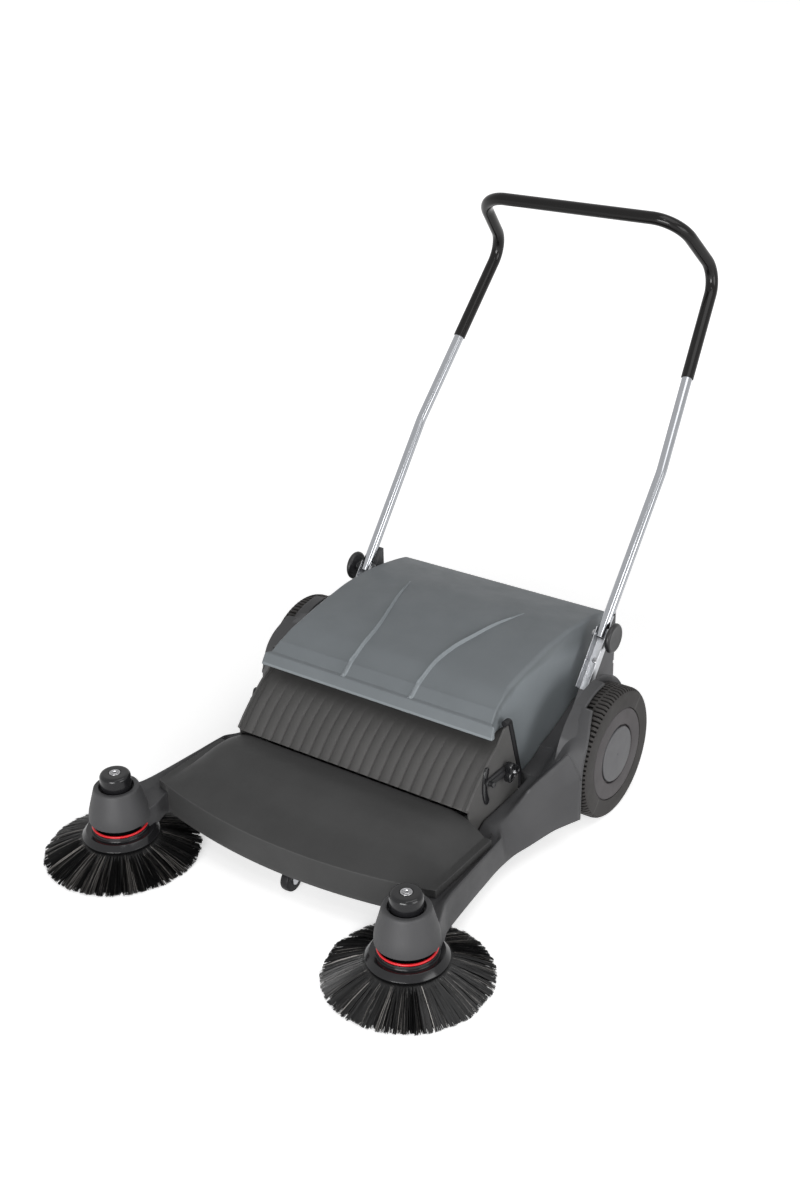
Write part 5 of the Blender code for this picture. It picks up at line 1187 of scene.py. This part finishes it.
def side_brush(side):
    body = "side_brush_"
    place = Matrix.Translation((TOWER_X, TOWER_Y, 0))
    under, rim_z, step_z, collar_z = FLANGE_UNDER_Z, FLANGE_RIM_Z, FLANGE_TOP_Z, COLLAR_TOP_Z
    rim, hub_z, bore = FLANGE_RADIUS + 0.2, flange_high.z, 6.3
    flange = [(bore, under - 3.5), (38, under - 0.2, 1), (rim - 3.2, under - 0.1, 1),
              (rim, rim_z - 1, 0.8), (rim, rim_z + 0.8, 0.6), (FLANGE_TOP_RADIUS, step_z, 1),
              (COLLAR_RADIUS + 1, step_z - 0.6, 1), (COLLAR_RADIUS, collar_z, 0.8),
              (30, collar_z, 2), (12.5, collar_z + 3.5, 2), (9, hub_z - 8, 1),
              (11, hub_z - 8, 0.4), (9.5, hub_z - 5.5, 0.6), (9.5, hub_z - 2.5, 0.6),
              (11, hub_z, 0.4), (bore, hub_z)]
    side_piece(side, "brush_plate_", turned(flange, 96, place), "gloss_black", body,
               "side_brush_flange_")
    thick = seal_half.z + 0.2
    ring = [around_tower(seal_half.x - thick, 2 * pi * k / 72, seal_middle.z) for k in range(72)]
    side_piece(side, "red_seal_", swept(ring, thick, 14, closed=True), "red_rubber", body,
               "side_brush_ring_")
    side_piece(side, "sweeping_tufts_", side_bristles(3 if side > 0 else 5), "bristle", body,
               "side_brush_bristles_", crease=60)
    top, low, radius = dial_high.z, dial_low.z, DIAL_RADIUS
    cap = [(0, low + 30), (bore, low + 30), (bore, low), (radius - 1.5, low, 1),
           (radius, low + 3, 1), (radius, top - 5.5, 3), (radius - 3, top - 1.2, 2),
           (radius - 6, top, 2), (12.2, top, 0.6), (11.6, top - 3, 0.6), (0, top - 3)]
    side_piece(side, "adjuster_cap_", turned(cap, 96, place, 5), "gloss_black", "height_dial_",
               "height_dial_")
    washer = [(0, top - 2.7), (10.8, top - 2.7, 0.4), (10.8, top + 0.6, 0.8),
              (8.2, top + 0.6, 0.6), (7.8, top - 0.6, 0.4), (6.6, top - 0.6, 0.2),
              (6.6, top + 1, 0.8), (4.6, top + 1, 0.4), (4, top - 0.8, 0.4), (0, top - 0.8)]
    socket = turned([(0, top - 2.2), (3.4, top - 2.2), (3.4, top + 7.8), (0, top + 7.8)], 6, place)
    side_piece(side, "socket_screw_", carved(turned(washer, 48, place), socket), "steel",
               "height_dial_", "dial_screw_")


# Main brush and caster

def roller_brush():
    """Core tube with strands in slow spiral rows."""
    rng = random.Random(8)
    low, high = roller_low.x, roller_high.x
    y, z = roller_middle.y, roller_middle.z
    core = turned([(6.6, low), (34, low, 1), (34, high, 1), (6.6, high)], 48, on_x(y, z), 3)
    core = meshed("core", core)
    bm = bmesh.new()
    bm.verts.layers.float.new("shade")
    bm.from_mesh(core)
    bpy.data.meshes.remove(core)
    layer = bm.verts.layers.float.get("shade")
    for row in range(8):
        for share in spread(0, 1, 62):
            x = lerp(low + 6, high - 6, share)
            for _ in range(6):
                turn = 2 * pi * row / 8 + 1.1 * share + rng.gauss(0, 0.035)
                at = x + rng.gauss(0, 1.5)
                end_turn = turn + rng.gauss(0, 0.02)
                reach = roller_half.z - abs(rng.gauss(0, 1.5))
                tip_x = min(max(at + rng.gauss(0, 2), low + 2), high - 2)
                root = around_x(at, y, z, 33, turn)
                tip = around_x(tip_x, y, z, reach, end_turn)
                # Painted sheen of each strand, as on the side brushes.
                shade = 0.3 + rng.gauss(0, 0.2)
                strand(bm, root, root.lerp(tip, 0.5), tip, 1, shade, layer, rings=3)
    piece("roller_tufts", bm, "bristle", "main_brush", "main_brush_bristles", crease=60)


def caster_tread():
    low, high, middle, half = node_box("caster_wheel")
    radius = half.z
    profile = [(3.3, low.x), (radius - 3, low.x, 1), (radius - 1, low.x + 1, 1.5),
               (radius, middle.x, 6), (radius - 1, high.x - 1, 1.5), (radius - 3, high.x, 1),
               (3.3, high.x)]
    piece("caster_tyre", turned(profile, 48, on_x(middle.y, middle.z)), "rubber",
          "caster_wheel", "caster_wheel")


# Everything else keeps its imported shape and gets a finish

def dress_nodes():
    slots = {part["node"]: part["material_slot"] for part in frame["record"]["subparts"]}
    for name, obj in frame["nodes"].items():
        if obj.hide_render:
            continue
        material = FINISHES[slots[name]]
        if obj.data.materials:
            obj.data.materials[0] = material
        else:
            obj.data.materials.append(material)
        soften(obj, 0.4)


# Camera, light and floor

def camera():
    azimuth, elevation, roll = radians(35.5), radians(26.27), radians(-1.18)
    back = Vector((sin(azimuth) * cos(elevation), -cos(azimuth) * cos(elevation), sin(elevation)))
    right = (-back).cross(Vector((0, 0, 1))).normalized()
    up = right.cross(-back)
    tilted_right = right * cos(roll) + up * sin(roll)
    tilted_up = up * cos(roll) - right * sin(roll)
    data = bpy.data.cameras.new("photo_camera")
    data.sensor_width = 36
    data.lens = 47.69001
    obj = placed("photo_camera", data)
    turn = Matrix((tilted_right, tilted_up, back)).transposed()
    place = Vector((1.60335, -2.42505, 1.8052)) + MACHINE
    obj.matrix_world = Matrix.Translation(place) @ turn.to_4x4()
    bpy.context.scene.camera = obj


def area_light(name, place, target, size, power):
    data = bpy.data.lights.new(name, "AREA")
    data.shape = "RECTANGLE"
    data.size, data.size_y = size
    data.energy = power
    obj = placed(name, data)
    obj.location = Vector(place) + MACHINE
    obj.rotation_euler = (Vector(target) - Vector(place)).to_track_quat("-Z", "Y").to_euler()


def ray_share(tree, *kinds):
    """1 for rays of these kinds and 0 for all others."""
    rays = tree.nodes.new("ShaderNodeLightPath")
    share = 0
    for kind in kinds:
        share = added(tree, "Math", 0, {0: share, 1: rays.outputs[kind]}, operation="MAXIMUM")
    return share


def sky():
    """Plain light from all round; camera and mirror rays see the white studio."""
    world = bpy.data.worlds.new("studio")
    bpy.context.scene.world = world
    world.use_nodes = True
    tree = world.node_tree
    seen = ray_share(tree, "Is Camera Ray", "Is Transmission Ray", "Is Glossy Ray")
    feed(tree, tree.nodes["Background"], {"Color": (1, 1, 1, 1),
                                          "Strength": ranged(tree, seen, 0.21, 1, 0, 1)})


def floor():
    """White floor that keeps the object's soft shadow."""
    bm = bmesh.new()
    reach = 14.0
    bm.faces.new([bm.verts.new((x, y, 0)) for x, y in rectangle(-reach, -reach, reach, reach)])
    obj = placed("studio_floor", meshed("studio_floor", bm))
    material, tree, shader, place = started("studio_white")
    seen = ray_share(tree, "Is Camera Ray", "Is Glossy Ray")
    away = tree.nodes.new("ShaderNodeVectorMath")
    away.operation = "LENGTH"
    tree.links.new(place, away.inputs[0])
    faded = ranged(tree, away.outputs["Value"], 0.60, 1, 0.9, 2.2)
    glow = added(tree, "Math", 0, {0: seen, 1: faded}, operation="MULTIPLY")
    feed(tree, shader, {"Base Color": (0.80, 0.80, 0.80, 1), "Roughness": 0.9,
                        "Specular IOR Level": 0.0, "Emission Color": (1, 1, 1, 1),
                        "Emission Strength": glow})
    obj.data.materials.append(material)


for build in (hood, cover, hopper, handle, roller_brush, caster_tread):
    build()
for side in SIDES:
    for build in (wheel, side_frame, lever, star_knob, side_brush, bracket, cross_screw,
                  clamp_disc):
        build(side)
dress_nodes()
camera()
sky()
floor()
area_light("key", (1.1, -4.2, 1.0), (0, -0.2, 0.3), (2.4, 1.4), 155)
area_light("fill", (3.4, -0.6, 1.1), (0, 0, 0.3), (1.8, 1.4), 40)
area_light("glint", (1.5, -2.3, 3.3), (0.2, -0.5, 0.1), (0.5, 0.5), 7)
area_light("top", (1.5, -0.1, 3.4), (0, 0, 0.2), (2.4, 2.4), 38)
bpy.context.scene.view_settings.view_transform = "Standard"
